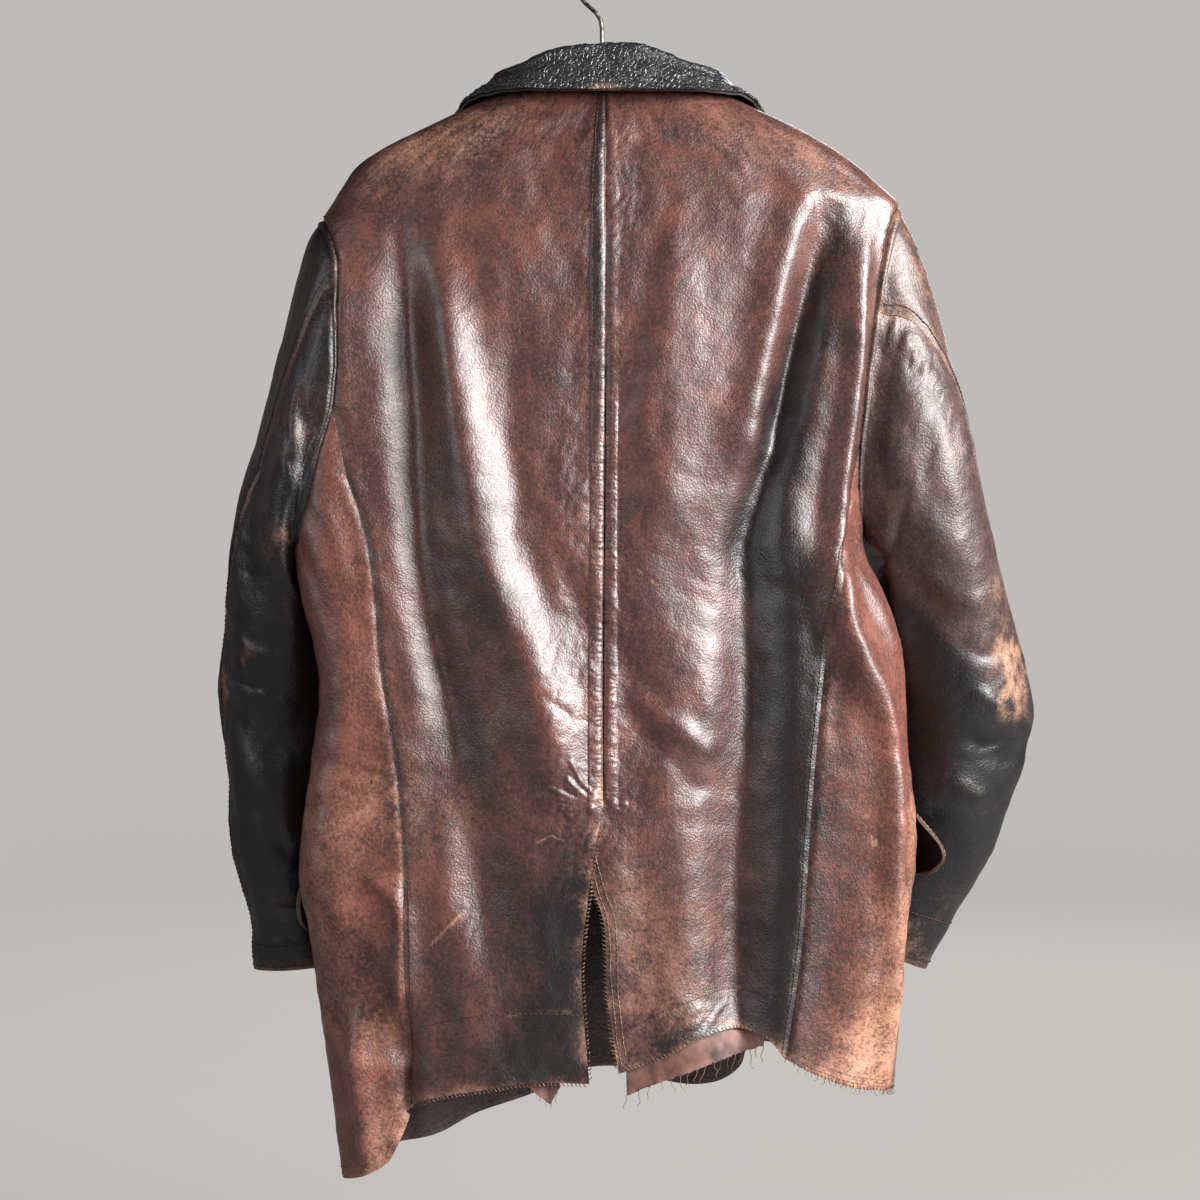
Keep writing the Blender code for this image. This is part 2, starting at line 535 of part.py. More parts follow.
class Sleeve:
    """A tube from an armhole to a cuff, read at (share of its length, degrees round it)."""

    def __init__(self, rings, folds, armhole, body_surface):
        self.rings = np.array(rings)
        self.folds = folds
        edge = inset(armhole, body_surface, SEAM_GAP)
        self.start = body_surface(edge)
        self.start_normal = outward(body_surface, edge)
        self.angles = np.linspace(0, 360, len(armhole) + 1)
        self.offset = self.start - self.ring(np.zeros(len(armhole)), self.angles[:-1])
        # The sign that makes the normals face out of the tube, on either side of the body.
        self.sign = 1 if self.rings[0, 0] > 0 else -1

    def ring(self, share, degrees):
        at = np.linspace(0, 1, len(self.rings))
        ox, oz, ix, iz, y, depth = (through(share, at, column) for column in self.rings.T)
        c, s = np.cos(np.radians(degrees)), np.sin(np.radians(degrees))
        x = (ox + ix) / 2 + (ox - ix) / 2 * c
        z = (oz + iz) / 2 + (oz - iz) / 2 * c
        return np.column_stack([x, y - depth * s, z])

    def fold_height(self, share, degrees):
        total = np.zeros(len(share))
        around = math.radians(1) * SLEEVE_RADIUS
        here = np.column_stack([share * SLEEVE_LENGTH, ((degrees + 90) % 360 - 90) * around])
        for _, rows, half_width, height in self.folds:
            path = along(np.array(rows) * (SLEEVE_LENGTH, around), 0.02)
            nearest = np.full(len(here), 1.0)
            travelled = np.zeros(len(here))
            for k, (start, end) in enumerate(zip(path[:-1], path[1:])):
                run = end - start
                t = np.clip(((here - start) @ run) / (run @ run), 0, 1)
                distance = np.linalg.norm(here - start - t[:, None] * run, axis=1)
                closer = distance < nearest
                nearest = np.where(closer, distance, nearest)
                travelled = np.where(closer, (k + t) / (len(path) - 1), travelled)
            ends = smooth(travelled / 0.25) * smooth((1 - travelled) / 0.25)
            total += height * ends * np.exp(-((nearest / half_width) ** 2))
        return total

    def surface(self, place):
        share, degrees = place.T
        fade = 1 - smooth(share / BLEND_RINGS)
        turn = degrees % 360
        shift = np.column_stack([np.interp(turn, self.angles, np.append(c, c[0])) for c in self.offset.T])
        points = self.ring(share, degrees) + fade[:, None] * shift
        centre = (self.ring(share, degrees) + self.ring(share, degrees + 180)) / 2
        away = points - centre
        away /= np.linalg.norm(away, axis=1)[:, None]
        return points + away * self.fold_height(share, degrees)[:, None]

    def piece(self, name, columns, edges, rows, material):
        """A part of the sleeve between two arm seams and two rows."""
        first, last = edges
        grid, normals = [], []
        share_columns = (columns * 360.0 / len(self.start) - first(0.0)) / (last(0.0) - first(0.0))
        gap_degrees = math.degrees(SEAM_GAP / 2 / SLEEVE_RADIUS)
        for row in rows:
            share = row / SLEEVE_ROWS
            degrees = first(share) + share_columns * (last(share) - first(share))
            degrees[0] += gap_degrees
            degrees[-1] -= gap_degrees
            place = np.column_stack([np.full(len(degrees), share), degrees])
            if row == 0:
                # The sleeve head is sewn to the armhole, point for point.
                head = self.start[columns % len(self.start)]
                for end, beside in ((0, 1), (-1, -2)):
                    run = head[beside] - head[end]
                    head[end] += run * SEAM_GAP / 2 / np.linalg.norm(run)
                grid.append(head)
                normals.append(self.start_normal[columns % len(self.start)])
                continue
            grid.append(self.surface(place))
            du = self.surface(place + (0, PROBE_DEGREES)) - self.surface(place - (0, PROBE_DEGREES))
            dv = self.surface(place + (PROBE_SHARE, 0)) - self.surface(place - (PROBE_SHARE, 0))
            normal = np.cross(du, dv) * self.sign
            normals.append(normal / np.linalg.norm(normal, axis=1)[:, None])
        faces = grid_faces(len(rows), len(columns))
        wall_object(name, np.concatenate(grid), np.concatenate(normals), faces, LEATHER, material)


def armhole_loop(back, under, front):
    """The armhole as an even loop from the shoulder down the back, under the arm and up in front."""
    return np.concatenate([flat(back)[:-1], flat(under)[:-1], flat(front)[:-1]])


def build_sleeves():
    """Top and under sleeves; the left top sleeve is pieced at the elbow."""
    dark = finish("dark_leather", (0.045, 0.021, 0.017), 0.42)
    dark_under = finish("dark_leather_under", (0.060, 0.028, 0.022), 0.42)

    left_hole = armhole_loop(ARMHOLE_LEFT_BACK, ARMHOLE_LEFT_UNDER, ARMHOLE_LEFT_FRONT)
    right_hole = armhole_loop(ARMHOLE_RIGHT_BACK, ARMHOLE_RIGHT_UNDER, ARMHOLE_RIGHT_FRONT)
    for side, hole, rings, folds in (
        ("left", left_hole, LEFT_RINGS, LEFT_SLEEVE_FOLDS),
        ("right", right_hole, RIGHT_RINGS, RIGHT_SLEEVE_FOLDS),
    ):
        tube = Sleeve(rings, folds, hole, body)
        count = len(hole)
        back_seam = round(count * BACK_ARM_SHARE)
        front_seam = round(count * FRONT_ARM_SHARE)
        back_degrees = back_seam * 360.0 / count
        front_degrees = front_seam * 360.0 / count
        end_degrees, end_share = BACK_ARM_END[side]

        def back_arm(share):
            return back_degrees + (end_degrees - back_degrees) * smooth(share / end_share)

        def front_arm(share):
            return front_degrees

        def front_arm_before(share):
            return front_degrees - 360.0

        rows = range(SLEEVE_ROWS + 1)
        under = np.arange(back_seam, front_seam + 1)
        top = np.arange(front_seam - count, back_seam + 1)
        top_edges = (front_arm_before, back_arm)
        tube.piece(f"sleeve_{side}_under", under, (back_arm, front_arm), rows, dark_under)
        if side == "right":
            tube.piece("sleeve_right_top", top, top_edges, rows, dark)
            continue
        row_gap = SEAM_GAP / 2 / SLEEVE_LENGTH * SLEEVE_ROWS
        upper = [*range(ELBOW_SEAM_ROW), ELBOW_SEAM_ROW - row_gap]
        lower = [ELBOW_SEAM_ROW + row_gap, *range(ELBOW_SEAM_ROW + 1, SLEEVE_ROWS + 1)]
        tube.piece("sleeve_left_top", top, top_edges, upper, dark)
        tube.piece("sleeve_left_top_lower", top, top_edges, lower, dark)


# Collar: rows from the centre back round to one front end. The roll stands up and out from the neck seam, and
# the outer edge lies over the body at its own degrees, height and lift.
# share of the half collar, roll up, roll out, edge degrees from the centre back, edge height, edge lift
COLLAR_STATIONS = np.array([
    (0.00, 0.0300, 0.0060, 0.0, -0.1145, 0.0170),
    (0.13, 0.0250, 0.0060, 14.0, -0.1145, 0.0170),
    (0.24, 0.0120, 0.0050, 36.0, -0.1140, 0.0170),
    (0.34, 0.0070, 0.0060, 60.0, -0.1135, 0.0140),
    (0.44, 0.0060, 0.0070, 80.0, -0.1170, 0.0096),
    (0.54, 0.0050, 0.0080, 102.0, -0.1240, 0.0092),
    (0.66, 0.0050, 0.0090, 131.0, -0.1460, 0.0094),
    (0.80, 0.0050, 0.0100, 154.0, -0.1850, 0.0098),
    (0.92, 0.0050, 0.0100, 162.0, -0.2250, 0.0102),
    (1.00, 0.0050, 0.0100, 165.0, -0.2480, 0.0106),
])
COLLAR_ROWS_ALONG = 11
COLLAR_LAYER_GAP = 0.0008
COLLAR_SEAT, COLLAR_SEAT_OUT = 0.0027, 0.0011
COLLAR_FALL_SHARES = (0.30, 0.62)
COLLAR_FULLNESS = 0.0020
COLLAR_LYING_LIFT = 0.0062
COLLAR_LIES_FROM, COLLAR_LIES_FULL = 0.26, 0.46
ROLL_WIDTH = 0.0044
NECK_STEP = 0.012


def neck_places():
    """The neck edge of the body in two halves, from the centre back round to each front end, in even steps."""
    halves = []
    for back, front in ((BACK_NECK_LEFT, NECKLINE_LEFT), (BACK_NECK_RIGHT, NECKLINE_RIGHT)):
        seam = np.concatenate([on_back(back, NECK_STEP)[:-1], flat(front, NECK_STEP)])
        points = body(seam)
        run = np.concatenate([[0], np.cumsum(np.linalg.norm(np.diff(points, axis=0), axis=1))])
        at = np.linspace(0, run[-1], COLLAR_ROWS_ALONG + 1)
        halves.append(np.column_stack([np.interp(at, run, column) for column in seam.T]))
    return halves


def collar_half(seam, side):
    """Knots across the collar at each row from the centre back to one end: neck seam, roll and outer edge."""
    share = np.linspace(0, 1, len(seam))
    up, out, turn, height, lift = (
        through(share, COLLAR_STATIONS[:, 0], COLLAR_STATIONS[:, column]) for column in range(1, 6)
    )
    edge_place = np.column_stack([np.radians(90 + side * turn) * AROUND, height])
    edge = body(edge_place, lift + lap_lift(edge_place))
    seat = body(seam, lap_lift(seam))
    straight_out = body(seam, LEATHER) - body(seam)
    straight_out /= np.linalg.norm(straight_out, axis=1)[:, None]
    neck = seat + straight_out * COLLAR_SEAT_OUT + (0, 0, COLLAR_SEAT)
    rise = np.column_stack([np.zeros((len(seam), 2)), up])
    roll = neck + rise + straight_out * out[:, None]
    away = (edge - roll) * (1, 1, 0.3)
    away /= np.linalg.norm(away, axis=1)[:, None]
    # Behind the neck the fall hangs from the roll, and down the front it lies on the body.
    lying = smooth((share - COLLAR_LIES_FROM) / (COLLAR_LIES_FULL - COLLAR_LIES_FROM))[:, None]
    fall = []
    for part in COLLAR_FALL_SHARES:
        hanging = roll * (1 - part) + edge * part + (0, 0, COLLAR_FULLNESS)
        place = seam * (1 - part) + edge_place * part
        laid = body(place, lift / 2 + COLLAR_LYING_LIFT + lap_lift(place))
        fall.append(hanging * (1 - lying) + laid * lying)
    inner_roll = roll - away * ROLL_WIDTH * 0.27 - rise * 0.06
    outer_roll = roll + away * ROLL_WIDTH * 0.73 + (0, 0, ROLL_WIDTH * 0.23)
    stand = (neck + roll) / 2 - away * ROLL_WIDTH * 0.23
    return np.stack([neck, stand, inner_roll, outer_roll, *fall, edge], axis=1)


def build_collar():
    """An under collar and an upper collar, sewn to the neck, rising to the roll and falling outside."""
    near_black = finish("collar_leather", (0.020, 0.016, 0.018), 0.38)
    under_black = finish("under_collar_leather", (0.028, 0.020, 0.019), 0.45)
    left_seam, right_seam = neck_places()
    left, right = collar_half(left_seam, 1), collar_half(right_seam, -1)
    rows = np.concatenate([left[::-1], right[1:]])
    normal = np.cross(np.gradient(rows, axis=1), np.gradient(rows, axis=0))
    normal /= np.linalg.norm(normal, axis=2)[:, :, None]
    faces = grid_faces(*rows.shape[:2])
    middle, normal = rows.reshape(-1, 3), normal.reshape(-1, 3)
    outer_side = normal * (COLLAR_LEATHER + COLLAR_LAYER_GAP)
    wall_object("under_collar", middle, normal, faces, COLLAR_LEATHER, under_black)
    wall_object("upper_collar", middle + outer_side, normal, faces, COLLAR_LEATHER, near_black)


# Hip pocket flaps: degrees at the rear and front ends, height of the top seam, depth, how far they stand off.
FLAP_ROWS = (
    ("pocket_flap_left", 180.0, 236.0, -0.752, 0.058, 0.008),
    ("pocket_flap_right", 1.0, -56.0, -0.706, 0.056, 0.020),
)
FLAP_BASE = 0.0027
FLAP_BELLY = 0.10
FLAP_CURL = 0.0022
FLAP_COLUMNS = 9
FLAP_LINES = 3


def build_flaps():
    """Two flaps sewn to the fronts at the hips, their rear ends standing off the sides."""
    brown = finish("flap_leather", (0.100, 0.040, 0.026), 0.45)
    for name, rear, front, top, depth, stand_off in FLAP_ROWS:
        places, lifts = [], []
        for v in np.linspace(0, 1, FLAP_LINES + 1):
            for u in np.linspace(0, 1, FLAP_COLUMNS + 1):
                belly = FLAP_BELLY * (1 - (2 * u - 1) ** 2)
                height = top - depth * v * (1 - FLAP_BELLY + belly)
                around = math.radians(rear + u * (front - rear)) * AROUND
                places.append((around, height))
                # The rear end stands away from the side.
                lifts.append(FLAP_BASE + stand_off * v * (1 - smooth(2 * u)) + FLAP_CURL * v)
        places = np.array(places)
        lifts = np.array(lifts) + (lap_lift(places) if rear > 90 else 0.0)
        middle = body(places, lifts)
        normal = outward(body, places)
        faces = grid_faces(FLAP_LINES + 1, FLAP_COLUMNS + 1)
        wall_object(name, middle, normal, faces, LEATHER, brown)


# Buttons in two columns on the left front: degrees, height.
BUTTON_PLACES = (
    (281.0, -0.34), (282.5, -0.48), (284.5, -0.62), (258.5, -0.34), (258.0, -0.48), (257.5, -0.62),
)
BUTTON_RADIUS = 0.0135
BUTTON_THICKNESS = 0.0045
BUTTON_SEAT = 0.0006
# The turned profile, as shares of the radius and of the thickness.
BUTTON_PROFILE = ((0.0, 0.0), (0.86, 0.0), (1.0, 0.4), (0.94, 1.0), (0.78, 1.0), (0.66, 0.6), (0.0, 0.55))
BUTTON_STEPS = 12


def build_buttons():
    """Plain turned buttons with a raised rim, sewn flat on the leather."""
    horn = finish("button_horn", (0.018, 0.012, 0.010), 0.30)
    for number, (degrees, height) in enumerate(BUTTON_PLACES, 1):
        place = np.array([(math.radians(degrees) * AROUND, height)])
        point = left_front_surface(place)[0]
        normal = outward(left_front_surface, place)[0]
        turn = Vector((0, 0, 1)).rotation_difference(Vector(normal))
        seat = LEATHER / 2 + BUTTON_SEAT
        bm = bmesh.new()
        chain = [bm.verts.new((BUTTON_RADIUS * out, 0.0, BUTTON_THICKNESS * up)) for out, up in BUTTON_PROFILE]
        edges = [bm.edges.new(pair) for pair in zip(chain[:-1], chain[1:])]
        bmesh.ops.spin(
            bm, geom=chain + edges, cent=(0, 0, 0), axis=(0, 0, 1), angle=2 * math.pi, steps=BUTTON_STEPS,
            use_merge=True,
        )
        bmesh.ops.remove_doubles(bm, verts=bm.verts, dist=SEAM_GAP / 10)
        bmesh.ops.recalc_face_normals(bm, faces=bm.faces)
        for vert in bm.verts:
            vert.co = turn @ (vert.co + Vector((0, 0, seat))) + Vector(point)
        finished(f"button_{number}", bm, horn)


# Torn lining that shows under the back hem: outline in (degrees, height).
LINING_RIGHT = (
    (89.2, -0.850), (89.0, -0.925), (87.0, -0.919), (84.5, -0.913), (77.8, -0.901), (71.0, -0.893),
    (65.5, -0.886), (64.0, -0.850),
)
LINING_SCRAP = (
    (95.2, -0.880), (95.6, -0.917), (97.2, -0.931), (99.6, -0.922), (101.0, -0.916), (101.0, -0.880),
)
LINING_DROP_RIGHT = -0.0036
LINING_DROP_LEFT = -0.0021


def build_lining():
    """What is left of the torn lining, hanging just inside the back."""
    satin = finish("lining_satin", (0.220, 0.085, 0.065), 0.55)

    def under_right(place):
        return body(place, LINING_DROP_RIGHT + vent_tuck(place))

    def under_left(place):
        return body(place, LINING_DROP_LEFT)

    for name, rows, surface in (
        ("lining_right", LINING_RIGHT, under_right),
        ("lining_scrap", LINING_SCRAP, under_left),
    ):
        ring = [*rows, rows[0]]
        sides = [flat(pair)[:-1] for pair in zip(ring[:-1], ring[1:])]
        points, faces = cut_piece(np.concatenate(sides))
        wall_object(name, surface(points), outward(surface, points), faces, LINING, satin)


# Hanger: a wooden bar that follows the shoulders, and a wire hook.
BAR_THICKNESS = 0.010
BAR_HEIGHT_MIDDLE = 0.026
BAR_HEIGHT_END = 0.018
BAR_LEFT_END, BAR_RIGHT_END = -0.190, 0.200
BAR_MIDDLE_TOP = -0.094
BAR_CLEARANCE = 0.0032
BAR_CHAMFER = 0.003
BAR_STATIONS = 21
BAR_ARCH = 0.070
NECK_MIDDLE = 0.007
WIRE_RADIUS = 0.00185
HOOK_RADIUS = 0.020
HOOK_OPEN_DEGREES = -25.0
HOOK_TURN_DEGREES = 225.0
HOOK_NECK = -0.048
HOOK_STEPS = 22
# The bend from the hook into its straight neck: x and height above the neck.
HOOK_BEND = ((-0.0050, 0.0075), (-0.0012, 0.0015), (0.0, -0.0060), (0.0, -0.0200))


def bar_top(x):
    """Height of the bar's upper edge: just under the shoulders, and an arch between them."""
    heights = np.linspace(SHOULDER_RIGHT[0][1], SHOULDER_LEFT[1][1], 200)
    reach = np.abs(section(heights)[0 if x < NECK_MIDDLE else 1])
    shoulder = np.interp(abs(x), reach, heights) - BAR_CLEARANCE
    share = smooth(np.abs(x - NECK_MIDDLE) / BAR_ARCH)
    return BAR_MIDDLE_TOP * (1 - share) + min(shoulder, BAR_MIDDLE_TOP) * share


def build_hanger():
    """A bar shaped to the shoulders, chamfered along its edges, and a bent wire hook."""
    wood = finish("hanger_wood", (0.180, 0.105, 0.055), 0.50)
    steel = finish("hook_steel", (0.140, 0.135, 0.130), 0.35, 1.0)
    bm = bmesh.new()
    rings = []
    for x in np.linspace(BAR_LEFT_END, BAR_RIGHT_END, BAR_STATIONS):
        share = abs(x - NECK_MIDDLE) / (BAR_RIGHT_END - NECK_MIDDLE)
        tall = BAR_HEIGHT_MIDDLE + (BAR_HEIGHT_END - BAR_HEIGHT_MIDDLE) * min(share, 1)
        top = bar_top(x)
        half = BAR_THICKNESS / 2
        flat_half, below_top, above_base = half - BAR_CHAMFER, top - BAR_CHAMFER, top - tall + BAR_CHAMFER
        outline = (
            (-flat_half, top), (flat_half, top), (half, below_top), (half, above_base),
            (flat_half, top - tall), (-flat_half, top - tall), (-half, above_base), (-half, below_top),
        )
        rings.append([bm.verts.new((x, y, z)) for y, z in outline])
    for before, after in zip(rings[:-1], rings[1:]):
        for k in range(len(before)):
            bm.faces.new((before[k - 1], before[k], after[k], after[k - 1]))
    bm.faces.new(rings[0])
    bm.faces.new(rings[-1])
    bmesh.ops.recalc_face_normals(bm, faces=bm.faces)
    finished("hanger_bar", bm, wood)

    # The inside of the hook touches the rail at the origin.
    centre = WIRE_RADIUS - HOOK_RADIUS
    arc = np.radians(np.linspace(HOOK_OPEN_DEGREES, HOOK_TURN_DEGREES, HOOK_STEPS))
    route = [(HOOK_RADIUS * math.cos(a), 0.0, centre + HOOK_RADIUS * math.sin(a)) for a in arc]
    route += [(x, 0.0, HOOK_NECK + up) for x, up in HOOK_BEND]
    route.append((0.0, 0.0, bar_top(0.0) + SEAM_GAP))
    curve = bpy.data.curves.new("hanger_hook", "CURVE")
    curve.dimensions = "3D"
    curve.bevel_depth = WIRE_RADIUS
    curve.bevel_resolution = 2
    curve.use_fill_caps = True
    spline = curve.splines.new("POLY")
    spline.points.add(len(route) - 1)
    for point, place in zip(spline.points, route):
        point.co = (*place, 1.0)
    curve.materials.append(steel)
    bpy.context.scene.collection.objects.link(bpy.data.objects.new("hanger_hook", curve))


clear_scene()
build_body()
build_sleeves()
build_collar()
build_flaps()
build_buttons()
build_lining()
build_hanger()
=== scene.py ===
import math

import bpy
import numpy as np
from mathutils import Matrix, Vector, geometry


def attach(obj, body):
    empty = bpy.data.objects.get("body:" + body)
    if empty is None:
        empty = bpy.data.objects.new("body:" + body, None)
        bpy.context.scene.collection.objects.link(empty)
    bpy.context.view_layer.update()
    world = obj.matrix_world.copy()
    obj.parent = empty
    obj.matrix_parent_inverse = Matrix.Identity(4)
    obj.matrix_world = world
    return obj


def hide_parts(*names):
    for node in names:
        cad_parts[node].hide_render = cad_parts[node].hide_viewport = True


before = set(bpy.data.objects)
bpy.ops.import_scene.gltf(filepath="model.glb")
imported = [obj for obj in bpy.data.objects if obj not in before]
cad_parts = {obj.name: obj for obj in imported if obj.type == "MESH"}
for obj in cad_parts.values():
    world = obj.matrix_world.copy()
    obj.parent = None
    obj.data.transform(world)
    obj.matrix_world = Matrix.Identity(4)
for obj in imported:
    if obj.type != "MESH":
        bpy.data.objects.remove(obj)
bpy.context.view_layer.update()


# ---- Camera ----
# The coat hangs from the origin and is seen square on from behind, level with the middle of its back.
EYE_DISTANCE = 2.1
camera_data = bpy.data.cameras.new("camera")
camera_data.sensor_width = 36.0
camera_data.lens = 75.9
camera = bpy.data.objects.new("camera", camera_data)
camera.location = (-0.0017, -EYE_DISTANCE, -0.528)
camera.rotation_euler = (math.pi / 2, 0, 0)
bpy.context.scene.collection.objects.link(camera)
bpy.context.scene.camera = camera


# ---- Body of the coat: two backs and two fronts ----
# Brown full-grain cowhide 1.6 mm thick, cut in four panels that meet down the centre back, behind each side
# and over the shoulders. Each is laid on the hanging form: a closed section at each height, with folds added.
LEATHER = 0.0016
SEAM_GAP = 0.0003
# Metres for each radian in the chart that the folds are measured in.
AROUND = 0.28
# The power that squares off a section: 1 would be an ellipse.
ROUND = 0.74

# height, left side, right side, depth of back, depth of front, in millimetres
SECTIONS = np.array([
    (-106, -78, 90, 28, 34),
    (-112, -92, 105, 31, 38),
    (-123, -114, 128, 36, 44),
    (-140, -150, 163, 44, 54),
    (-157, -184, 192, 50, 62),
    (-171, -204, 211, 54, 68),
    (-186, -214, 228, 57, 73),
    (-200, -222, 242, 60, 76),
    (-214, -230, 243, 62, 79),
    (-279, -237, 236, 68, 87),
    (-362, -244, 225, 72, 92),
    (-445, -249, 215, 75, 94),
    (-488, -250, 216, 77, 95),
    (-524, -246, 233, 78, 95),
    (-561, -236, 246, 79, 94),
    (-600, -229, 251, 80, 93),
    (-650, -234, 254, 81, 92),
    (-716, -241, 259, 82, 91),
    (-752, -244, 258, 82, 90),
    (-794, -239, 253, 82, 90),
    (-843, -234, 248, 82, 90),
    (-910, -226, 242, 82, 90),
    (-1010, -212, 230, 80, 88),
]) / 1000

# The largest folds, as in the solids: path of (x, height) on the back, half width, height, in millimetres.
BACK_FOLDS = (
    (((-164, -190), (-157, -367), (-144, -528), (-112, -660), (-86, -850)), 26, -11),
    (((-140, -220), (-115, -367), (-78, -528), (-40, -640), (-12, -720)), 24, 8),
    (((-150, -700), (-130, -800), (-112, -900), (-108, -960)), 30, 2),
    (((2, -280), (2, -450), (1, -600), (0, -720)), 18, -4),
    (((66, -220), (56, -340), (46, -480)), 24, 4),
    (((170, -165), (146, -260), (130, -350), (112, -430)), 24, 6),
    (((186, -180), (150, -367), (122, -480), (118, -610), (110, -770), (118, -950)), 28, -17),
    (((210, -200), (204, -330), (186, -470), (196, -560), (228, -650), (228, -960)), 24, 12),
)
# The same round the sides and the front, in (degrees, height).
ROUND_FOLDS = (
    (((148, -860), (145, -930), (145, -1080)), 26, 13),
    (((127, -840), (129, -920), (130, -1080)), 20, -11),
    (((160, -385), (167, -460), (166, -530), (160, -600)), 18, -2),
    (((20, -410), (16, -470), (14, -520), (10, -600)), 18, -1),
    (((228, -240), (235, -500), (231, -800), (230, -1050)), 30, -7),
    (((-48, -230), (-54, -470), (-50, -900)), 30, -8),
    (((262, -280), (266, -550), (263, -800), (259, -1020)), 34, 4),
)

# Seams and edges of the panels: (x, height) on the back, (degrees, height) round the rest, in millimetres.
CENTRE_SEAM = ((3, -108.5), (3, -290), (2, -450), (1, -570), (1, -688))
LEFT_SIDE_SEAM = (
    (-203, -429), (-189, -480), (-182, -528), (-178, -580), (-167, -649),
    (-160, -729), (-158, -809), (-158, -880), (-160, -941),
)
RIGHT_SIDE_SEAM = (
    (199, -450), (187, -490), (184, -530), (179, -580), (172, -650),
    (166, -728), (160, -810), (147, -896),
)
VENT_LEFT_EDGE = ((1, -688), (-8, -743), (-15, -799), (-16, -840), (-10, -914))
VENT_RIGHT_EDGE = (
    (1, -688), (-4, -697), (-16, -710), (-15, -730), (-7, -760), (2, -790),
    (4, -845), (13, -907),
)
HEM_BACK_LEFT = (
    (-10, -914), (-58, -914), (-98, -920), (-130, -926), (-150, -933), (-160, -941),
)
HEM_BACK_RIGHT = (
    (13, -907), (46, -895), (78, -879), (110, -873), (133, -880), (147, -896),
)
BACK_NECK_LEFT = ((3, -108.5), (-40, -108.2), (-66, -107.5), (-79, -106.5))
BACK_NECK_RIGHT = ((3, -108.5), (48, -108.2), (76, -107.5), (91, -106.5))
SHOULDER_LEFT = ((180, -106.5), (180, -214.5))
SHOULDER_RIGHT = ((0, -106.5), (0, -200.5))
HEM_FRONT_LEFT = (
    (129.7, -941), (134.5, -968), (140.0, -985), (153.7, -997), (180.0, -1004), (205.0, -1001),
    (219.6, -992), (235.2, -985), (246.7, -970), (259.1, -955), (269.2, -932), (278.0, -946),
    (286.0, -945), (291.5, -932), (293.0, -915),
)
HEM_FRONT_RIGHT = (
    (60.5, -896), (50.6, -911), (35.1, -923), (0, -931), (-30.0, -925), (-60.0, -909),
    (-100.0, -904), (-109.5, -905),
)
ARMHOLE_LEFT_BACK = (
    (180.0, -214.5), (168.6, -217), (156.6, -228), (149.5, -247), (146.6, -284), (144.4, -330),
    (144.6, -372),
)
ARMHOLE_LEFT_UNDER = ((144.6, -372), (149.1, -414), (153.0, -450), (161.0, -481), (180.0, -488))
ARMHOLE_LEFT_FRONT = (
    (180.0, -488), (198.0, -480), (209.0, -450), (217.0, -390), (220.0, -330), (216.0, -270),
    (206.0, -232), (180.0, -214.5),
)
ARMHOLE_RIGHT_BACK = (
    (0, -200.5), (8.0, -207), (16.0, -221), (20.5, -250), (21.3, -294), (19.9, -348),
    (17.0, -402),
)
ARMHOLE_RIGHT_UNDER = ((17.0, -402), (14.0, -430), (8.5, -456), (0, -468))
ARMHOLE_RIGHT_FRONT = (
    (0, -468), (-18.0, -462), (-30.0, -430), (-38.0, -370), (-40.0, -310), (-36.0, -255),
    (-26.0, -220), (0, -200.5),
)
NECKLINE_LEFT = (
    (180.0, -106.5), (212.0, -114), (231.0, -125), (245.0, -145), (254.0, -175), (262.0, -210),
    (268.0, -240),
)
NECKLINE_RIGHT = (
    (0, -106.5), (-32.0, -114), (-51.0, -125), (-65.0, -145), (-74.0, -175), (-81.0, -205),
    (-88.0, -235),
)
OVERLAP_TOP_LEFT = ((268.0, -240), (278.0, -252), (287.0, -262))
OVERLAP_EDGE_LEFT = ((287.0, -262), (288.5, -500), (291.0, -750), (293.0, -915))
OVERLAP_TOP_RIGHT = ((-88.0, -235), (-98.0, -247), (-106.5, -256))
OVERLAP_EDGE_RIGHT = ((-106.5, -256), (-108.0, -500), (-109.0, -750), (-109.5, -905))

LAP_LIFT = 0.0034
LAP_FROM, LAP_TO = 236.0, 248.0
VENT_TUCK = 0.0036
VENT_TUCK_TOP, VENT_TUCK_FULL = -0.660, -0.694
VENT_TUCK_FROM, VENT_TUCK_TO = 80.0, 88.5


def smooth(t):
    t = np.clip(t, 0, 1)
    return t * t * (3 - 2 * t)


def bell(distance, half):
    """1 where the distance is 0, fading out smoothly, and 0.37 at half."""
    return np.exp(-((distance / half) ** 2))


def signed_power(value, power):
    return np.sign(value) * np.abs(value) ** power


def unit(rows):
    """Each vector at a length of 1."""
    return rows / np.linalg.norm(rows, axis=-1)[..., None]


def through(x, xs, ys):
    """A smooth curve through the points (xs, ys), read at x."""
    xs, ys = np.asarray(xs, float), np.asarray(ys, float)
    if xs[0] > xs[-1]:
        xs, ys = xs[::-1], ys[::-1]
    slope = np.gradient(ys, xs)
    i = np.clip(np.searchsorted(xs, x) - 1, 0, len(xs) - 2)
    width = xs[i + 1] - xs[i]
    t = np.clip((x - xs[i]) / width, 0, 1)
    ends = ys[i] * (1 + 2 * t) * (1 - t) ** 2 + ys[i + 1] * t * t * (3 - 2 * t)
    return ends + width * (slope[i] * t * (1 - t) ** 2 - slope[i + 1] * t * t * (1 - t))


def lengths_along(points):
    """How far along a line each of its points is."""
    return np.concatenate([[0], np.cumsum(np.linalg.norm(np.diff(points, axis=0), axis=1))])


def read_at(at, run, points):
    """A line read at some distances, where run is how far along each of its points is."""
    return np.stack([np.interp(at, run, column) for column in points.T], axis=-1)


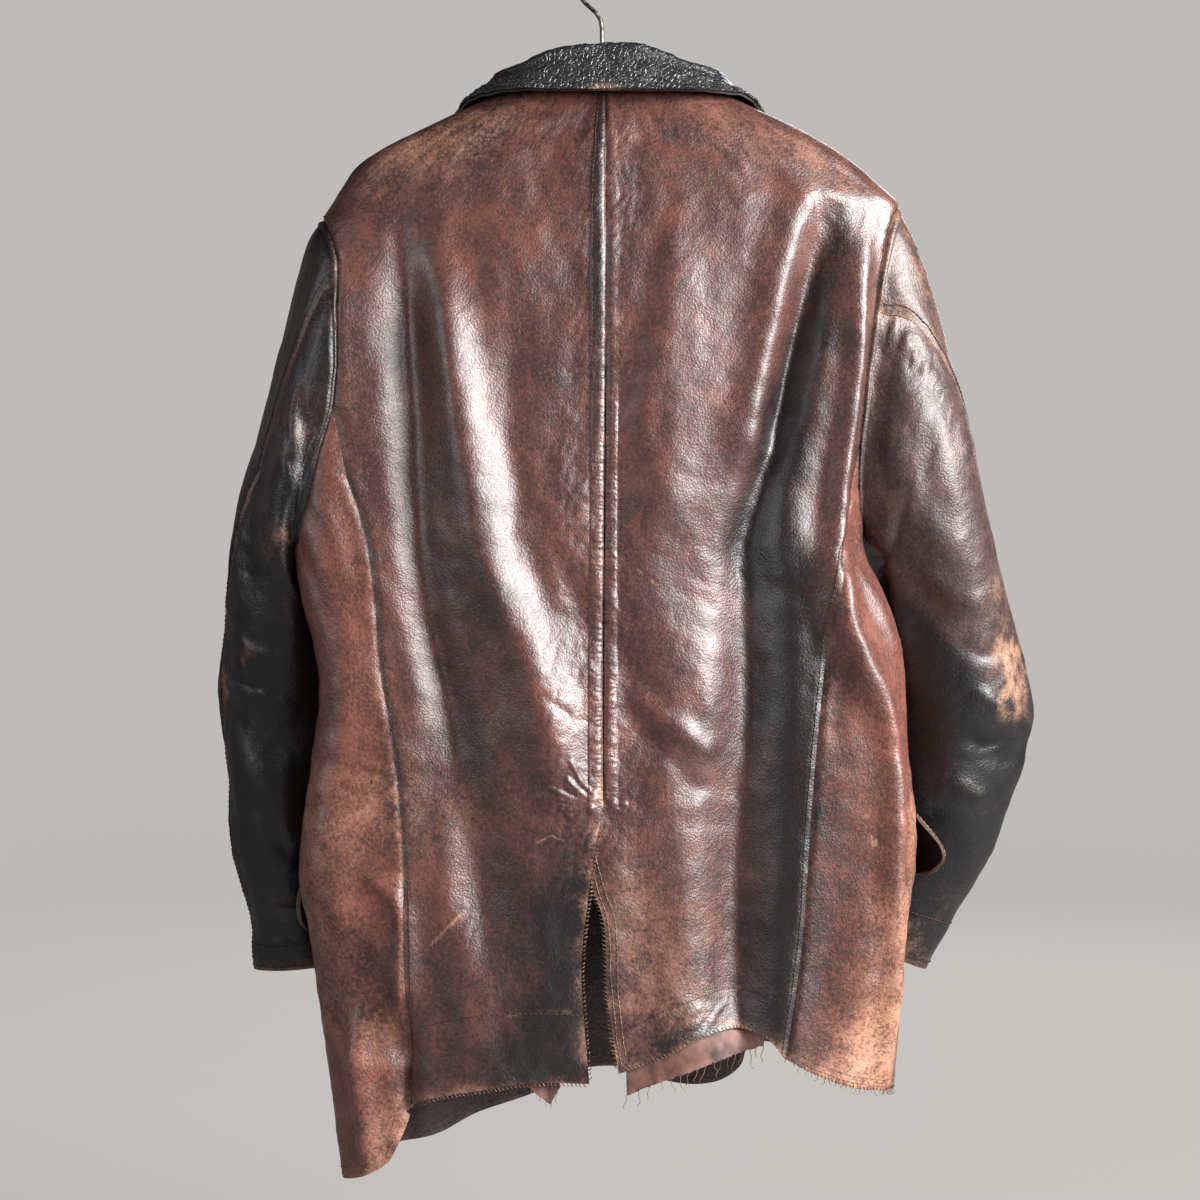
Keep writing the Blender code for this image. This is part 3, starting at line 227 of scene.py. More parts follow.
def along(points, spacing):
    """Points at equal distances along the smooth curve through these points."""
    points = np.array(points, float)
    index = np.arange(len(points))
    fine = np.linspace(0, len(points) - 1, 60 * len(points))
    curve = np.column_stack([through(fine, index, column) for column in points.T])
    run = lengths_along(curve)
    return read_at(np.linspace(0, run[-1], max(1, round(run[-1] / spacing)) + 1), run, curve)


def section(height):
    return [through(height, SECTIONS[:, 0], SECTIONS[:, column]) for column in range(1, 5)]


# Places on the coat are (girth, height) in metres. Girth runs from the centre back to the wearer's right.
TURN = np.radians(np.arange(-130.0, 310.0, 0.25))
nominal_x = 0.243 * signed_power(np.cos(TURN), ROUND)
nominal_y = np.where(np.sin(TURN) > 0, 0.080, 0.092) * signed_power(np.sin(TURN), ROUND)
GIRTH = np.concatenate([[0], np.cumsum(np.hypot(np.diff(nominal_x), np.diff(nominal_y)))])
GIRTH = np.interp(math.pi / 2, TURN, GIRTH) - GIRTH


def girth_of(degrees):
    return np.interp(np.radians(degrees), TURN, GIRTH)


def angle_of(girth):
    return np.interp(girth, GIRTH[::-1], TURN[::-1])


def round_line(rows, spacing=0.003):
    """A line given in (degrees, millimetres of height)."""
    degrees, height = np.array(rows, float).T
    points = along(np.column_stack([np.radians(degrees) * AROUND, height / 1000]), spacing)
    points[:, 0] = girth_of(np.degrees(points[:, 0] / AROUND))
    return points


def back_line(rows, spacing=0.003):
    """A line given in millimetres, as (x, height) on the back."""
    points = along(np.array(rows) / 1000, spacing)
    left, right, _, _ = section(points[:, 1])
    share = np.clip((points[:, 0] - (left + right) / 2) / ((right - left) / 2), -1, 1)
    points[:, 0] = girth_of(np.degrees(np.arccos(signed_power(share, 1 / ROUND))))
    return points


def fold_path(rows, on_back):
    """A fold's line in (angle times AROUND, height), as the folds of the solids are measured."""
    line = back_line(rows, 0.03) if on_back else round_line(rows, 0.03)
    return np.column_stack([angle_of(line[:, 0]) * AROUND, line[:, 1]])


FOLDS = [(fold_path(rows, True), half / 1000, 1.2 * (height / 1000)) for rows, half, height in BACK_FOLDS]
FOLDS += [(fold_path(rows, False), half / 1000, height / 1000) for rows, half, height in ROUND_FOLDS]
FOLDS += [(path - (2 * math.pi * AROUND, 0), half, height) for path, half, height in FOLDS[-1:]]


def heap(at, paths, fade_in=0.20, fade_out=0.15):
    """Summed height of ridges and troughs: each is a path, its half width and its height."""
    total = np.zeros(len(at))
    for path, half, height in paths:
        low, high = path.min(axis=0) - 3 * half, path.max(axis=0) + 3 * half
        near = np.flatnonzero(((at > low) & (at < high)).all(axis=1))
        if not len(near):
            continue
        here = at[near]
        nearest, travelled = np.full(len(here), 1.0), np.zeros(len(here))
        for k, (start, end) in enumerate(zip(path[:-1], path[1:])):
            run = end - start
            t = np.clip(((here - start) @ run) / (run @ run), 0, 1)
            distance = np.linalg.norm(here - start - t[:, None] * run, axis=1)
            closer = distance < nearest
            nearest = np.where(closer, distance, nearest)
            travelled = np.where(closer, (k + t) / (len(path) - 1), travelled)
        ends = smooth(travelled / fade_in) * smooth((1 - travelled) / fade_out)
        total[near] += height * ends * bell(nearest, half)
    return total


def ripple(at, seed, across, down, waves=18):
    """Soft random undulation, about 1 high, with waves of these lengths across and down."""
    draw = np.random.default_rng(seed)
    total = np.zeros(len(at))
    for _ in range(waves):
        turn, size, phase = draw.uniform(0, math.pi), draw.uniform(0.7, 1.5), draw.uniform(0, 2 * math.pi)
        place = at[:, 0] * math.cos(turn) / across + at[:, 1] * math.sin(turn) / down
        total += np.sin(2 * math.pi * size * place + phase)
    return total / math.sqrt(waves / 2)


# Smaller creases pressed in by wear: path of (girth, height), half width, height, in millimetres.
SMALL_CREASES = (
    # the long drapes of the back: down from the left shoulder blade into the vent, and from the right one
    (((-132, -225), (-116, -340), (-92, -470), (-64, -570), (-44, -690)), 18, 4.2),
    (((-84, -270), (-60, -400), (-26, -520), (14, -600), (30, -720)), 22, -5),
    (((-222, -180), (-220, -330), (-222, -480), (-226, -620), (-228, -760), (-222, -860)), 29, 17),
    (((-152, -500), (-146, -640), (-140, -780), (-136, -930)), 16, -4.4),
    (((62, -200), (54, -300), (40, -440)), 14, 2.6),
    (((90, -440), (84, -600), (82, -760), (86, -900)), 38, -6.2),
    (((4, -700), (2, -780), (10, -880)), 16, 3),
    # the broad dark hollow down the right, and the crest beyond it
    (((140, -400), (130, -520), (122, -680), (122, -860)), 28, -6),
    (((198, -440), (202, -550), (207, -660), (209, -760), (207, -900)), 26, 8),
    (((196, -195), (176, -300), (156, -410)), 18, -6),
    (((222, -215), (216, -300), (206, -400)), 18, 2.2),
    # soft pulls that run down from the shoulders
    (((-100, -215), (-86, -300), (-70, -400)), 12, 1.6),
    (((-60, -330), (-40, -450), (-22, -560)), 10, 1.8),
    # the shadowed fold below the collar on the right, and a short one on the left
    (((16, -152), (70, -158), (128, -172)), 9, -1.8),
    (((-110, -150), (-60, -146), (-20, -150)), 8, -1.2),
    # short creases beside the centre seam
    (((-66, -600), (-50, -612), (-34, -622)), 4, -1.4),
    (((6, -598), (40, -624), (86, -656)), 9, 3.6),
    (((10, -622), (40, -650), (70, -690)), 9, -2.2),
    (((-60, -690), (-36, -676), (-12, -672)), 5, 1.2),
    # the S-shaped fold low on the left side, with its hollow
    (((-200, -742), (-182, -752), (-166, -776), (-168, -812), (-176, -856)), 8, 5.6),
    (((-204, -790), (-196, -835), (-188, -870), (-178, -905)), 13, -6),
    (((-225, -760), (-205, -800), (-196, -850)), 12, 2.2),
    # creases across the side panels
    (((-250, -626), (-222, -632), (-186, -628)), 5, -1.4),
    (((-252, -652), (-220, -660), (-180, -672)), 5, -1.2),
    (((-246, -688), (-214, -694), (-176, -690)), 6, -1.4),
    (((210, -640), (236, -660), (262, -672)), 6, -1.4),
    (((200, -700), (232, -712), (262, -708)), 6, 1.2),
    (((196, -770), (226, -760), (258, -768)), 7, -1.2),
    (((190, -850), (220, -838), (250, -848)), 8, 1.2),
    # creases under the arms
    (((-222, -440), (-206, -470), (-196, -520)), 6, 2.2),
    (((-236, -470), (-224, -510), (-214, -560)), 6, -2),
    (((206, -450), (214, -500), (226, -560)), 6, -2),
    (((222, -470), (236, -520), (246, -580)), 6, 2.2),
    # like ones on the fronts, which face away
    (((-330, -300), (-350, -420), (-340, -560)), 14, 3),
    (((-400, -330), (-390, -470), (-410, -640)), 12, -2.4),
    (((-300, -560), (-330, -640), (-340, -760)), 14, -3),
    (((-360, -700), (-380, -800), (-370, -900)), 14, 3),
    (((320, -300), (344, -430), (336, -560)), 14, 3),
    (((388, -330), (380, -470), (396, -640)), 12, -2.4),
    (((300, -560), (330, -660), (330, -780)), 14, -3),
)
CREASES = []
for rows, half, height in SMALL_CREASES:
    CREASES.append((along(np.array(rows) / 1000, 0.012), half / 1000, height / 1000))

centre_line = back_line(CENTRE_SEAM)


def seam_girth(height):
    return np.interp(height, centre_line[::-1, 1], centre_line[::-1, 0])


# Puckers where the centre seam has shrunk: close together, uneven on both sides, strongest below the waist.
pucker_draw = np.random.default_rng(11)
pucker_height = -0.130
while pucker_height > -0.686:
    strength = 0.30 + 0.70 * smooth((-0.300 - pucker_height) / 0.12)
    for side in (-1, 1):
        reach, drop = pucker_draw.uniform(0.007, 0.012), pucker_draw.uniform(-0.001, 0.002)
        shift = pucker_draw.uniform(-0.0006, 0.0006)
        start = (seam_girth(pucker_height) - side * 0.0010, pucker_height + shift)
        end = (start[0] + side * reach, start[1] - drop)
        middle = ((start[0] + end[0]) / 2, (start[1] + end[1]) / 2)
        tall = pucker_draw.uniform(0.0004, 0.0007) * strength
        CREASES.append((np.array([start, middle, end]), 0.0011, tall))
    pucker_height -= pucker_draw.uniform(0.0028, 0.0037)

# The fan of wrinkles that spreads from the top of the vent, nearly all of it to the left.
FAN_CENTRE = (seam_girth(-0.688), -0.692)
for degrees in (128, 140, 151, 160, 169, 177, 186, 195, 204, 214, 225, 237, 250, 2, 20, -20):
    turn = math.radians(degrees + pucker_draw.uniform(-3, 3))
    length = pucker_draw.uniform(0.026, 0.050) * (1 if degrees > 90 else 0.4)
    way = np.array([math.cos(turn), math.sin(turn)])
    bend = 0.06 * length * np.array([-way[1], way[0]])
    root, tip = FAN_CENTRE + 0.004 * way, FAN_CENTRE + length * way
    path = along((root, (root + tip) / 2 + bend, tip), 0.006)
    CREASES.append((path, 0.0020, pucker_draw.uniform(0.0009, 0.0017)))
# Short slanting wrinkles in the hem beside the vent.
for k in range(9):
    x, z = 0.018 + 0.0075 * k, -0.868 - pucker_draw.uniform(0.0, 0.012)
    run = pucker_draw.uniform(0.010, 0.020)
    path = along(((x, z), (x + 0.4 * run, z + 0.5 * run), (x + run, z + run)), 0.005)
    CREASES.append((path, 0.0020, 0.0007))


def body(place, lift=0.0):
    """The middle of the leather at each (girth, height), with the large folds, moved outwards by lift."""
    angle, height = angle_of(place[:, 0]), place[:, 1]
    left, right, back, front = section(height)
    half = (right - left) / 2
    cosine, sine = np.cos(angle), np.sin(angle)
    across, out = signed_power(cosine, ROUND), signed_power(sine, ROUND)
    depth = np.where(sine > 0, back, front)
    power = 2 / ROUND - 1
    nx, ny = signed_power(across, power) / half, -signed_power(out, power) / depth
    size = np.hypot(nx, ny)
    move = heap(np.column_stack([angle * AROUND, height]), FOLDS) + lift
    x = (left + right) / 2 + half * across + move * nx / size
    y = -depth * out + move * ny / size
    return np.column_stack([x, y, height])


def lap_lift(place):
    degrees = np.degrees(angle_of(place[:, 0]))
    return LAP_LIFT * smooth((degrees - LAP_FROM) / (LAP_TO - LAP_FROM))


def vent_tuck(place):
    degrees = np.degrees(angle_of(place[:, 0]))
    down = smooth((VENT_TUCK_TOP - place[:, 1]) / (VENT_TUCK_TOP - VENT_TUCK_FULL))
    return -VENT_TUCK * down * smooth((degrees - VENT_TUCK_FROM) / (VENT_TUCK_TO - VENT_TUCK_FROM))


# The allowance of the centre seam is turned to the left and sewn down: a strip of double thickness. Below the
# shoulder blades it is pressed open to both sides.
STRIP_HEIGHT = 0.0009
OPEN_FROM = -0.330


def seam_strip(place):
    """1 on the turned allowance, 0 off it, with a soft step between."""
    from_centre = seam_girth(place[:, 1]) - place[:, 0]
    strip = smooth(from_centre / 0.0015) * smooth((0.0125 - from_centre) / 0.0015)
    opened = smooth(-from_centre / 0.0015) * smooth((0.0110 + from_centre) / 0.0025)
    strip += opened * smooth((OPEN_FROM - place[:, 1]) / 0.06)
    strip *= smooth((place[:, 1] + 0.700) / 0.004)
    return strip


def wear_height(place):
    """Creases, and the slackness of old leather."""
    slack = 0.0008 * ripple(place, 3, 0.075, 0.150) + 0.00022 * ripple(place, 4, 0.026, 0.034)
    slack += 0.00012 * ripple(place, 5, 0.010, 0.012)
    calm = smooth((-0.112 - place[:, 1]) / 0.03)
    return heap(place, CREASES) + slack * calm + STRIP_HEIGHT * seam_strip(place)


def coat(place, lift=0.0):
    return body(place, wear_height(place) + lift)


def left_front_surface(place):
    return coat(place, lap_lift(place))


def right_back_surface(place):
    return coat(place, vent_tuck(place))


def turning(loop):
    x, y = loop.T
    return np.sign((x * np.roll(y, -1) - np.roll(x, -1) * y).sum())


def inset(loop, amount):
    """The loop moved inwards by amount."""
    before = unit(loop - np.roll(loop, 1, axis=0))
    tangent = unit(before + unit(np.roll(loop, -1, axis=0) - loop))
    inwards = turning(loop) * np.column_stack([-tangent[:, 1], tangent[:, 0]])
    corner = np.maximum((tangent * before).sum(axis=1), 0.5)
    return loop + inwards * (amount / corner)[:, None]


def inside(loop, points):
    x, y = points.T
    crossings = np.zeros(len(points), int)
    for (x0, y0), (x1, y1) in zip(loop, np.roll(loop, -1, axis=0)):
        if y0 == y1:
            continue
        spans = (y0 > y) != (y1 > y)
        crossings += spans & (x < x0 + (y - y0) * (x1 - x0) / (y1 - y0))
    return crossings % 2 == 1


def distance_to(line, points, reach=0.05):
    """How far each point is from an open line, up to reach."""
    nearest = np.full(len(points), reach)
    for start, end in zip(line[:-1], line[1:]):
        low, high = np.minimum(start, end) - reach, np.maximum(start, end) + reach
        near = np.flatnonzero(((points > low) & (points < high)).all(axis=1))
        run = end - start
        if not len(near) or not run.any():
            continue
        t = np.clip(((points[near] - start) @ run) / (run @ run), 0, 1)
        distance = np.linalg.norm(points[near] - start - t[:, None] * run, axis=1)
        nearest[near] = np.minimum(nearest[near], distance)
    return nearest


def cut_piece(loop, step, dense=(), finest=()):
    """Points and triangles that fill an outline, closer together near its edge and in the dense boxes, and
    closest in the finest ones."""
    closed = np.concatenate([loop, loop[:1]])
    rings = []
    for depth in (0.0011, 0.0024, 0.0040, 0.0058, 0.0078):
        ring = inset(loop, depth)
        rings.append(ring[distance_to(closed, ring, 0.01) > 0.85 * depth])
    low, high = loop.min(axis=0), loop.max(axis=0)
    grids = []
    for level, spacing in enumerate((step, step / 2, step / 4)):
        steps = [np.arange(low[axis], high[axis], spacing) for axis in range(2)]
        across, down = np.meshgrid(*steps)
        across[::2] += spacing / 2
        grid = np.column_stack([across.ravel(), down.ravel()])
        wanted = np.zeros(len(grid), int)
        for number, boxes in enumerate((dense, finest), 1):
            for x0, x1, z0, z1 in boxes:
                in_box = (grid[:, 0] > x0) & (grid[:, 0] < x1) & (grid[:, 1] > z0) & (grid[:, 1] < z1)
                wanted[in_box] = number
        grid = grid[wanted == level]
        if len(grid):
            grids.append(grid[distance_to(closed, grid, 0.015) > 0.0078 + 0.6 * spacing])
    inner = np.concatenate([*rings, *grids])
    inner = inner[inside(loop, inner)]
    points = [Vector(point) for point in np.concatenate([loop, inner])]
    found = geometry.delaunay_2d_cdt(points, [], [list(range(len(loop)))], 1, 1e-7)
    return np.array([tuple(point) for point in found[0]]), np.array([tuple(face) for face in found[2]])


def vertex_normals(points, faces):
    corners = points[faces]
    turned = np.cross(corners[:, 1] - corners[:, 0], corners[:, 2] - corners[:, 0])
    total = np.zeros_like(points)
    for k in range(3):
        np.add.at(total, faces[:, k], turned)
    return total / np.maximum(np.linalg.norm(total, axis=1), 1e-12)[:, None]


def normals_away(points, faces, centre):
    """Unit normals at the points, on the side away from the centre."""
    normal = vertex_normals(points, faces)
    return normal * np.sign(((points - centre) * normal).sum())


def placed(name, data):
    item = bpy.data.objects.new(name, data)
    bpy.context.scene.collection.objects.link(item)
    return item


def wall(name, middle, faces, centre, thickness, materials, marks):
    """A closed wall on a middle surface: the face away from the centre, the other face and the cut edge, each
    of its own material. Marks are numbers for each point that the materials read."""
    normal = vertex_normals(middle, faces)
    if ((middle - centre) * normal).sum() < 0:
        faces, normal = faces[:, ::-1], -normal
    count = len(middle)
    pairs = np.concatenate([faces[:, [0, 1]], faces[:, [1, 2]], faces[:, [2, 0]]])
    _, index, uses = np.unique(np.sort(pairs, axis=1), axis=0, return_index=True, return_counts=True)
    rim = pairs[index[uses == 1]]
    i, j = rim[:, 0], rim[:, 1]
    sides = np.concatenate([np.column_stack([j, i, i + count]), np.column_stack([j, i + count, j + count])])
    points = np.concatenate([middle + normal * thickness / 2, middle - normal * thickness / 2])
    every = np.concatenate([faces, faces[:, ::-1] + count, sides])
    mesh = bpy.data.meshes.new(name)
    mesh.from_pydata(points.tolist(), [], every.tolist())
    slots = np.repeat((0, 1, 2), (len(faces), len(faces), len(sides))).astype(np.int32)
    for material in materials:
        mesh.materials.append(material)
    mesh.polygons.foreach_set("material_index", slots)
    mesh.shade_smooth()
    mesh.set_sharp_from_angle(angle=math.radians(50))
    for mark, values in marks.items():
        attribute = mesh.attributes.new(mark, "FLOAT", "POINT")
        attribute.data.foreach_set("value", np.concatenate([values, values]).astype(np.float32))
    return placed(name, mesh)


def keep(item, cad_node, slot_name):
    """Puts a piece in the place of a solid, on the coat's one body."""
    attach(item, "root")
    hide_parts(cad_node)


def colour(code):
    """An sRGB hex colour as the linear one that a shader takes."""
    parts = [int(code[k:k + 2], 16) / 255 for k in (1, 3, 5)]
    return (*[c / 12.92 if c <= 0.04045 else ((c + 0.055) / 1.055) ** 2.4 for c in parts], 1.0)


def put(tree, made, **inputs):
    """Sets or links inputs of a node, named as in Blender or n0, n1 and so on by their place."""
    for key, value in inputs.items():
        socket = made.inputs[int(key[1:]) if key[0] == "n" and key[1:].isdigit() else key.replace("_", " ")]
        if isinstance(value, bpy.types.NodeSocket):
            tree.links.new(value, socket)
        else:
            socket.default_value = value
    return made


def node(tree, kind, settings=None, **inputs):
    """Adds a node, sets what settings names, and sets or links each input."""
    made = tree.nodes.new(kind)
    for key, value in (settings or {}).items():
        setattr(made, key, value)
    return put(tree, made, **inputs)


def new_material(name):
    """A material, its node tree, its shader and the coordinates that its patterns are drawn by."""
    material = bpy.data.materials.new(name)
    material.use_nodes = True
    tree = material.node_tree
    return material, tree, tree.nodes["Principled BSDF"], node(tree, "ShaderNodeTexCoord").outputs["Object"]


def noise(tree, where, scale, detail, roughness=0.5, distortion=0.0):
    made = node(
        tree, "ShaderNodeTexNoise", Vector=where, Scale=scale, Detail=detail, Roughness=roughness,
        Distortion=distortion,
    )
    return made.outputs[0]


def bumped(tree, height, strength, distance, **under):
    """Relief of the given height pattern, over the relief in Normal if there is one."""
    made = node(tree, "ShaderNodeBump", Strength=strength, Distance=distance, Height=height, **under)
    return made.outputs[0]


def crazing(tree, where, warp_scale, shift, scale):
    """Distance to the edges of small cells, which wander by about the shift in metres."""
    warp = node(tree, "ShaderNodeTexNoise", Vector=where, Scale=warp_scale, Detail=1.0).outputs["Color"]
    add = {"operation": "MULTIPLY_ADD"}
    warped = node(tree, "ShaderNodeVectorMath", add, n0=warp, n1=(shift, shift, shift), n2=where).outputs[0]
    to_edge = {"feature": "DISTANCE_TO_EDGE"}
    return node(tree, "ShaderNodeTexVoronoi", to_edge, Vector=warped, Scale=scale).outputs[0]


def ramp(tree, value, stops):
    """A colour ramp from (position, hex colour) stops."""
    made = node(tree, "ShaderNodeValToRGB", n0=value)
    elements = made.color_ramp.elements
    while len(elements) < len(stops):
        elements.new(0.5)
    for element, (position, code) in zip(elements, stops):
        element.position = position
        element.color = colour(code)
    return made.outputs[0]


def between(tree, value, low, high, to_low=0.0, to_high=1.0):
    """The value moved from one range to another, and kept inside it."""
    made = node(tree, "ShaderNodeMapRange", n0=value, n1=low, n2=high, n3=to_low, n4=to_high)
    return made.outputs[0]


def mixed(tree, share, first, second):
    made = node(tree, "ShaderNodeMix", {"data_type": "RGBA"}, n0=share, n6=first, n7=second)
    return made.outputs[2]


def times(tree, first, second, operation="MULTIPLY"):
    return node(tree, "ShaderNodeMath", {"operation": operation}, n0=first, n1=second).outputs[0]


def total_of(tree, first, first_share, second, second_share):
    return times(tree, times(tree, first, first_share), times(tree, second, second_share), "ADD")


GRAIN_MM = 1.9


def cowhide(name, dark, middle, light, worn, grease_and_shade_colour, roughness=0.41, coat=0.22, cracks=0.0, specular=0.85):
    """Aniline-dyed full-grain cowhide, waxed and then worn: smooth and glossy, the dye rubbed off the high
    places, and darkened where the mesh is marked, partly by grease and partly with painted shade in the
    hollows of folds.
    IOR 1.5, roughness about 0.4. Real grain is 0.8 mm apart; it is drawn coarser, to show."""
    material, tree, shader, where = new_material(name)
    clouds = noise(tree, where, 14.0, 5.0, 0.66)
    blotch = noise(tree, where, 42.0, 4.0, 0.68)
    speck = noise(tree, where, 330.0, 2.0, 0.65)
    grain = node(tree, "ShaderNodeTexVoronoi", Vector=where, Scale=1000.0 / GRAIN_MM).outputs[0]
    rub = node(tree, "ShaderNodeAttribute", {"attribute_name": "worn"}).outputs["Fac"]
    grease_and_shade_mark = node(tree, "ShaderNodeAttribute", {"attribute_name": "grease_and_shade"}).outputs["Fac"]

    tone = total_of(tree, clouds, 0.55, blotch, 0.45)
    base = ramp(tree, tone, ((0.32, dark), (0.50, middle), (0.68, light)))
    # Fine pale scuffs where the finish has gone, and dark pores.
    base = mixed(tree, between(tree, speck, 0.50, 0.70, 0.0, 0.60), base, colour(light))
    base = mixed(tree, between(tree, speck, 0.46, 0.30, 0.0, 0.60), base, colour(dark))
    broken = between(tree, total_of(tree, blotch, 0.55, speck, 0.45), 0.42, 0.60)
    # Darkened towards the darkest colour where the mesh is marked: real grease, and painted shade laid along
    # the shaded slopes of folds.
    darkened = times(tree, grease_and_shade_mark, times(tree, times(tree, broken, -0.4), 1.3, "ADD"))
    base = mixed(tree, between(tree, darkened, 0.0, 1.0), base, colour(grease_and_shade_colour))
    rubbed = times(tree, rub, times(tree, times(tree, broken, 1.15), 0.25, "ADD"))
    rubbed = between(tree, rubbed, 0.04, 0.95, 0.0, 0.9)
    base = mixed(tree, rubbed, base, colour(worn))
    rough = between(tree, tone, 0.36, 0.64, roughness + 0.06, roughness - 0.06)
    rough = times(tree, rough, times(tree, rubbed, 0.14), "ADD")
    relief = bumped(tree, between(tree, grain, 0.25, 0.70, 1.0, 0.0), 0.50, 0.0003)
    relief = bumped(tree, speck, 0.45, 0.0005, Normal=relief)
    relief = bumped(tree, blotch, 0.30, 0.0010, Normal=relief)
    if cracks:
        # Dry, swollen grain that has cracked into cells a few millimetres across.
        groove = between(tree, crazing(tree, where, 90.0, 0.006, 230.0), 0.0, 0.14)
        base = mixed(tree, between(tree, groove, 0.0, 0.6, 0.7, 0.0), base, colour(grease_and_shade_colour))
        relief = bumped(tree, groove, cracks, 0.0012, Normal=relief)
    else:
        # Where the finish is worn it has crazed: a net of fine pale lines about 4 mm apart.
        lines = between(tree, crazing(tree, where, 70.0, 0.008, 240.0), 0.0, 0.07, 0.55, 0.0)
        lines = times(tree, lines, between(tree, times(tree, rub, blotch), 0.08, 0.26))
        base = mixed(tree, lines, base, colour(worn))
    put(tree, shader, Base_Color=base, Roughness=rough, Normal=relief, IOR=1.5, Specular_IOR_Level=specular)
    put(tree, shader, Coat_Weight=coat, Coat_Roughness=0.31)
    return material


def flesh_side(name, code):
    """The undressed flesh side of a hide, and its cut edge: matt, fibrous suede."""
    material, tree, shader, where = new_material(name)
    nap = noise(tree, where, 260.0, 4.0, 0.7)
    shade = mixed(tree, between(tree, nap, 0.3, 0.7, 0.0, 0.5), colour(code), colour("#000000"))
    put(tree, shader, Base_Color=shade, Roughness=0.85, Normal=bumped(tree, nap, 0.5, 0.0006))
    return material


BACK_HIDE = cowhide("waxed_cowhide_back", "#2a1b1a", "#55342e", "#7d4e43", "#bd8c74", "#170e10")
FRONT_HIDE = cowhide(
    "waxed_cowhide_front", "#38221f", "#6b4137", "#965d50", "#d29a7c", "#170e10", 0.42, 0.15, specular=0.7,
)
TURNED_HEM = cowhide(
    "waxed_cowhide_turned_hem", "#2e2326", "#4a393c", "#63504f", "#a08672", "#17151b", 0.5, 0.05,
)
INSIDE = flesh_side("cowhide_inside", "#2c1e1b")
RAW_EDGE = flesh_side("raw_hide_edge", "#b9987e")


def deep_inside(points):
    """Points near the middle of the body, that its panels face away from."""
    return np.column_stack([0.35 * points[:, 0], np.full(len(points), 0.008), points[:, 2]])


# Where the dye is rubbed off to orange tan, and where the hide is darkened: by grease, and with painted shade
# on the shaded slopes of folds, low beside the vent and down the hollow on the right: girth, height, radius,
# amount.
WORN_SPOTS = (
    (-0.200, -0.160, 0.034, 0.45), (-0.140, -0.145, 0.036, 0.25), (0.205, -0.170, 0.030, 0.35),
    (0.140, -0.145, 0.036, 0.20), (-0.225, -0.700, 0.040, 0.22), (-0.236, -0.800, 0.036, 0.26),
    (-0.190, -0.960, 0.030, 0.25), (-0.215, -0.870, 0.036, 0.25), (0.252, -0.790, 0.036, 0.70),
    (0.244, -0.870, 0.036, 0.95), (0.256, -0.710, 0.030, 0.45), (0.218, -0.900, 0.030, 0.75),
    (0.020, -0.760, 0.026, 0.22), (0.045, -0.830, 0.050, 0.22), (-0.120, -0.700, 0.040, 0.12),
    (-0.180, -0.690, 0.024, 0.20),
)
GREASE_AND_SHADE_SPOTS = (
    (-0.055, -0.780, 0.045, 0.75), (-0.045, -0.860, 0.045, 0.85), (-0.070, -0.905, 0.035, 0.75),
    (-0.112, -0.640, 0.035, 0.45), (-0.120, -0.900, 0.030, 0.45), (0.090, -0.640, 0.050, 0.30),
    (0.140, -0.480, 0.040, 0.40), (0.140, -0.600, 0.045, 0.55), (0.156, -0.700, 0.040, 0.90),
    (0.152, -0.790, 0.040, 0.90), (0.145, -0.870, 0.036, 0.80), (0.170, -0.590, 0.034, 0.85),
    (0.166, -0.500, 0.034, 0.75), (0.180, -0.410, 0.028, 0.65), (0.200, -0.320, 0.022, 0.55),
    (0.050, -0.890, 0.024, 0.45), (0.080, -0.880, 0.024, 0.45), (-0.150, -0.470, 0.024, 0.10),
    (-0.120, -0.560, 0.028, 0.15), (0.060, -0.890, 0.030, 0.50), (-0.030, -0.560, 0.030, 0.20),
    (0.030, -0.260, 0.050, 0.15), (-0.215, -0.880, 0.030, 0.45), (-0.095, -0.520, 0.035, 0.25),
    (0.110, -0.890, 0.025, 0.45),
)
# Long bands of painted shade on the shaded slopes of the folds: path, half width, amount.
PAINTED_SHADE_LINES = (
    (((0.198, -0.215), (0.184, -0.290), (0.166, -0.380)), 0.017, 0.80),
    (((0.166, -0.380), (0.160, -0.450), (0.152, -0.530), (0.152, -0.620), (0.156, -0.700), (0.153, -0.800),
      (0.146, -0.880)), 0.025, 0.80),
    (((-0.146, -0.210), (-0.128, -0.330), (-0.104, -0.450), (-0.078, -0.560)), 0.014, 0.10),
    (((-0.020, -0.720), (-0.026, -0.800), (-0.030, -0.900)), 0.018, 0.45),
)


def spot(across, down, radius):
    """1 at the middle of a round spot, fading out smoothly, and 0.37 at its radius."""
    return np.exp(-(across ** 2 + down ** 2) / radius ** 2)


def spots(place, rows):
    total = np.zeros(len(place))
    for across, down, radius, amount in rows:
        total += amount * spot(place[:, 0] - across, place[:, 1] - down, radius)
    return total


# Scratches through the dye: path of (girth, height), half width, amount.
SCRATCHES = (
    (((-0.144, -0.805), (-0.130, -0.791), (-0.116, -0.778)), 0.0009, 0.7),
    (((-0.139, -0.800), (-0.124, -0.787)), 0.0008, 0.5),
    (((-0.030, -0.856), (-0.060, -0.857), (-0.100, -0.861)), 0.0010, 0.3),
    (((0.014, -0.874), (0.046, -0.858), (0.080, -0.846), (0.108, -0.842)), 0.0010, 0.3),
    (((-0.060, -0.722), (-0.048, -0.716), (-0.038, -0.720)), 0.0010, 0.5),
    (((0.090, -0.612), (0.112, -0.600)), 0.0010, 0.35),
    (((-0.170, -0.330), (-0.162, -0.362)), 0.0009, 0.4),
    (((0.040, -0.500), (0.058, -0.520)), 0.0009, 0.35),
    (((-0.100, -0.560), (-0.082, -0.574)), 0.0009, 0.35),
    (((0.060, -0.780), (0.072, -0.800), (0.090, -0.806)), 0.0010, 0.35),
    (((-0.189, -0.669), (-0.188, -0.672)), 0.0016, 0.9),
    (((0.196, -0.700), (0.204, -0.724)), 0.0011, 0.5),
)
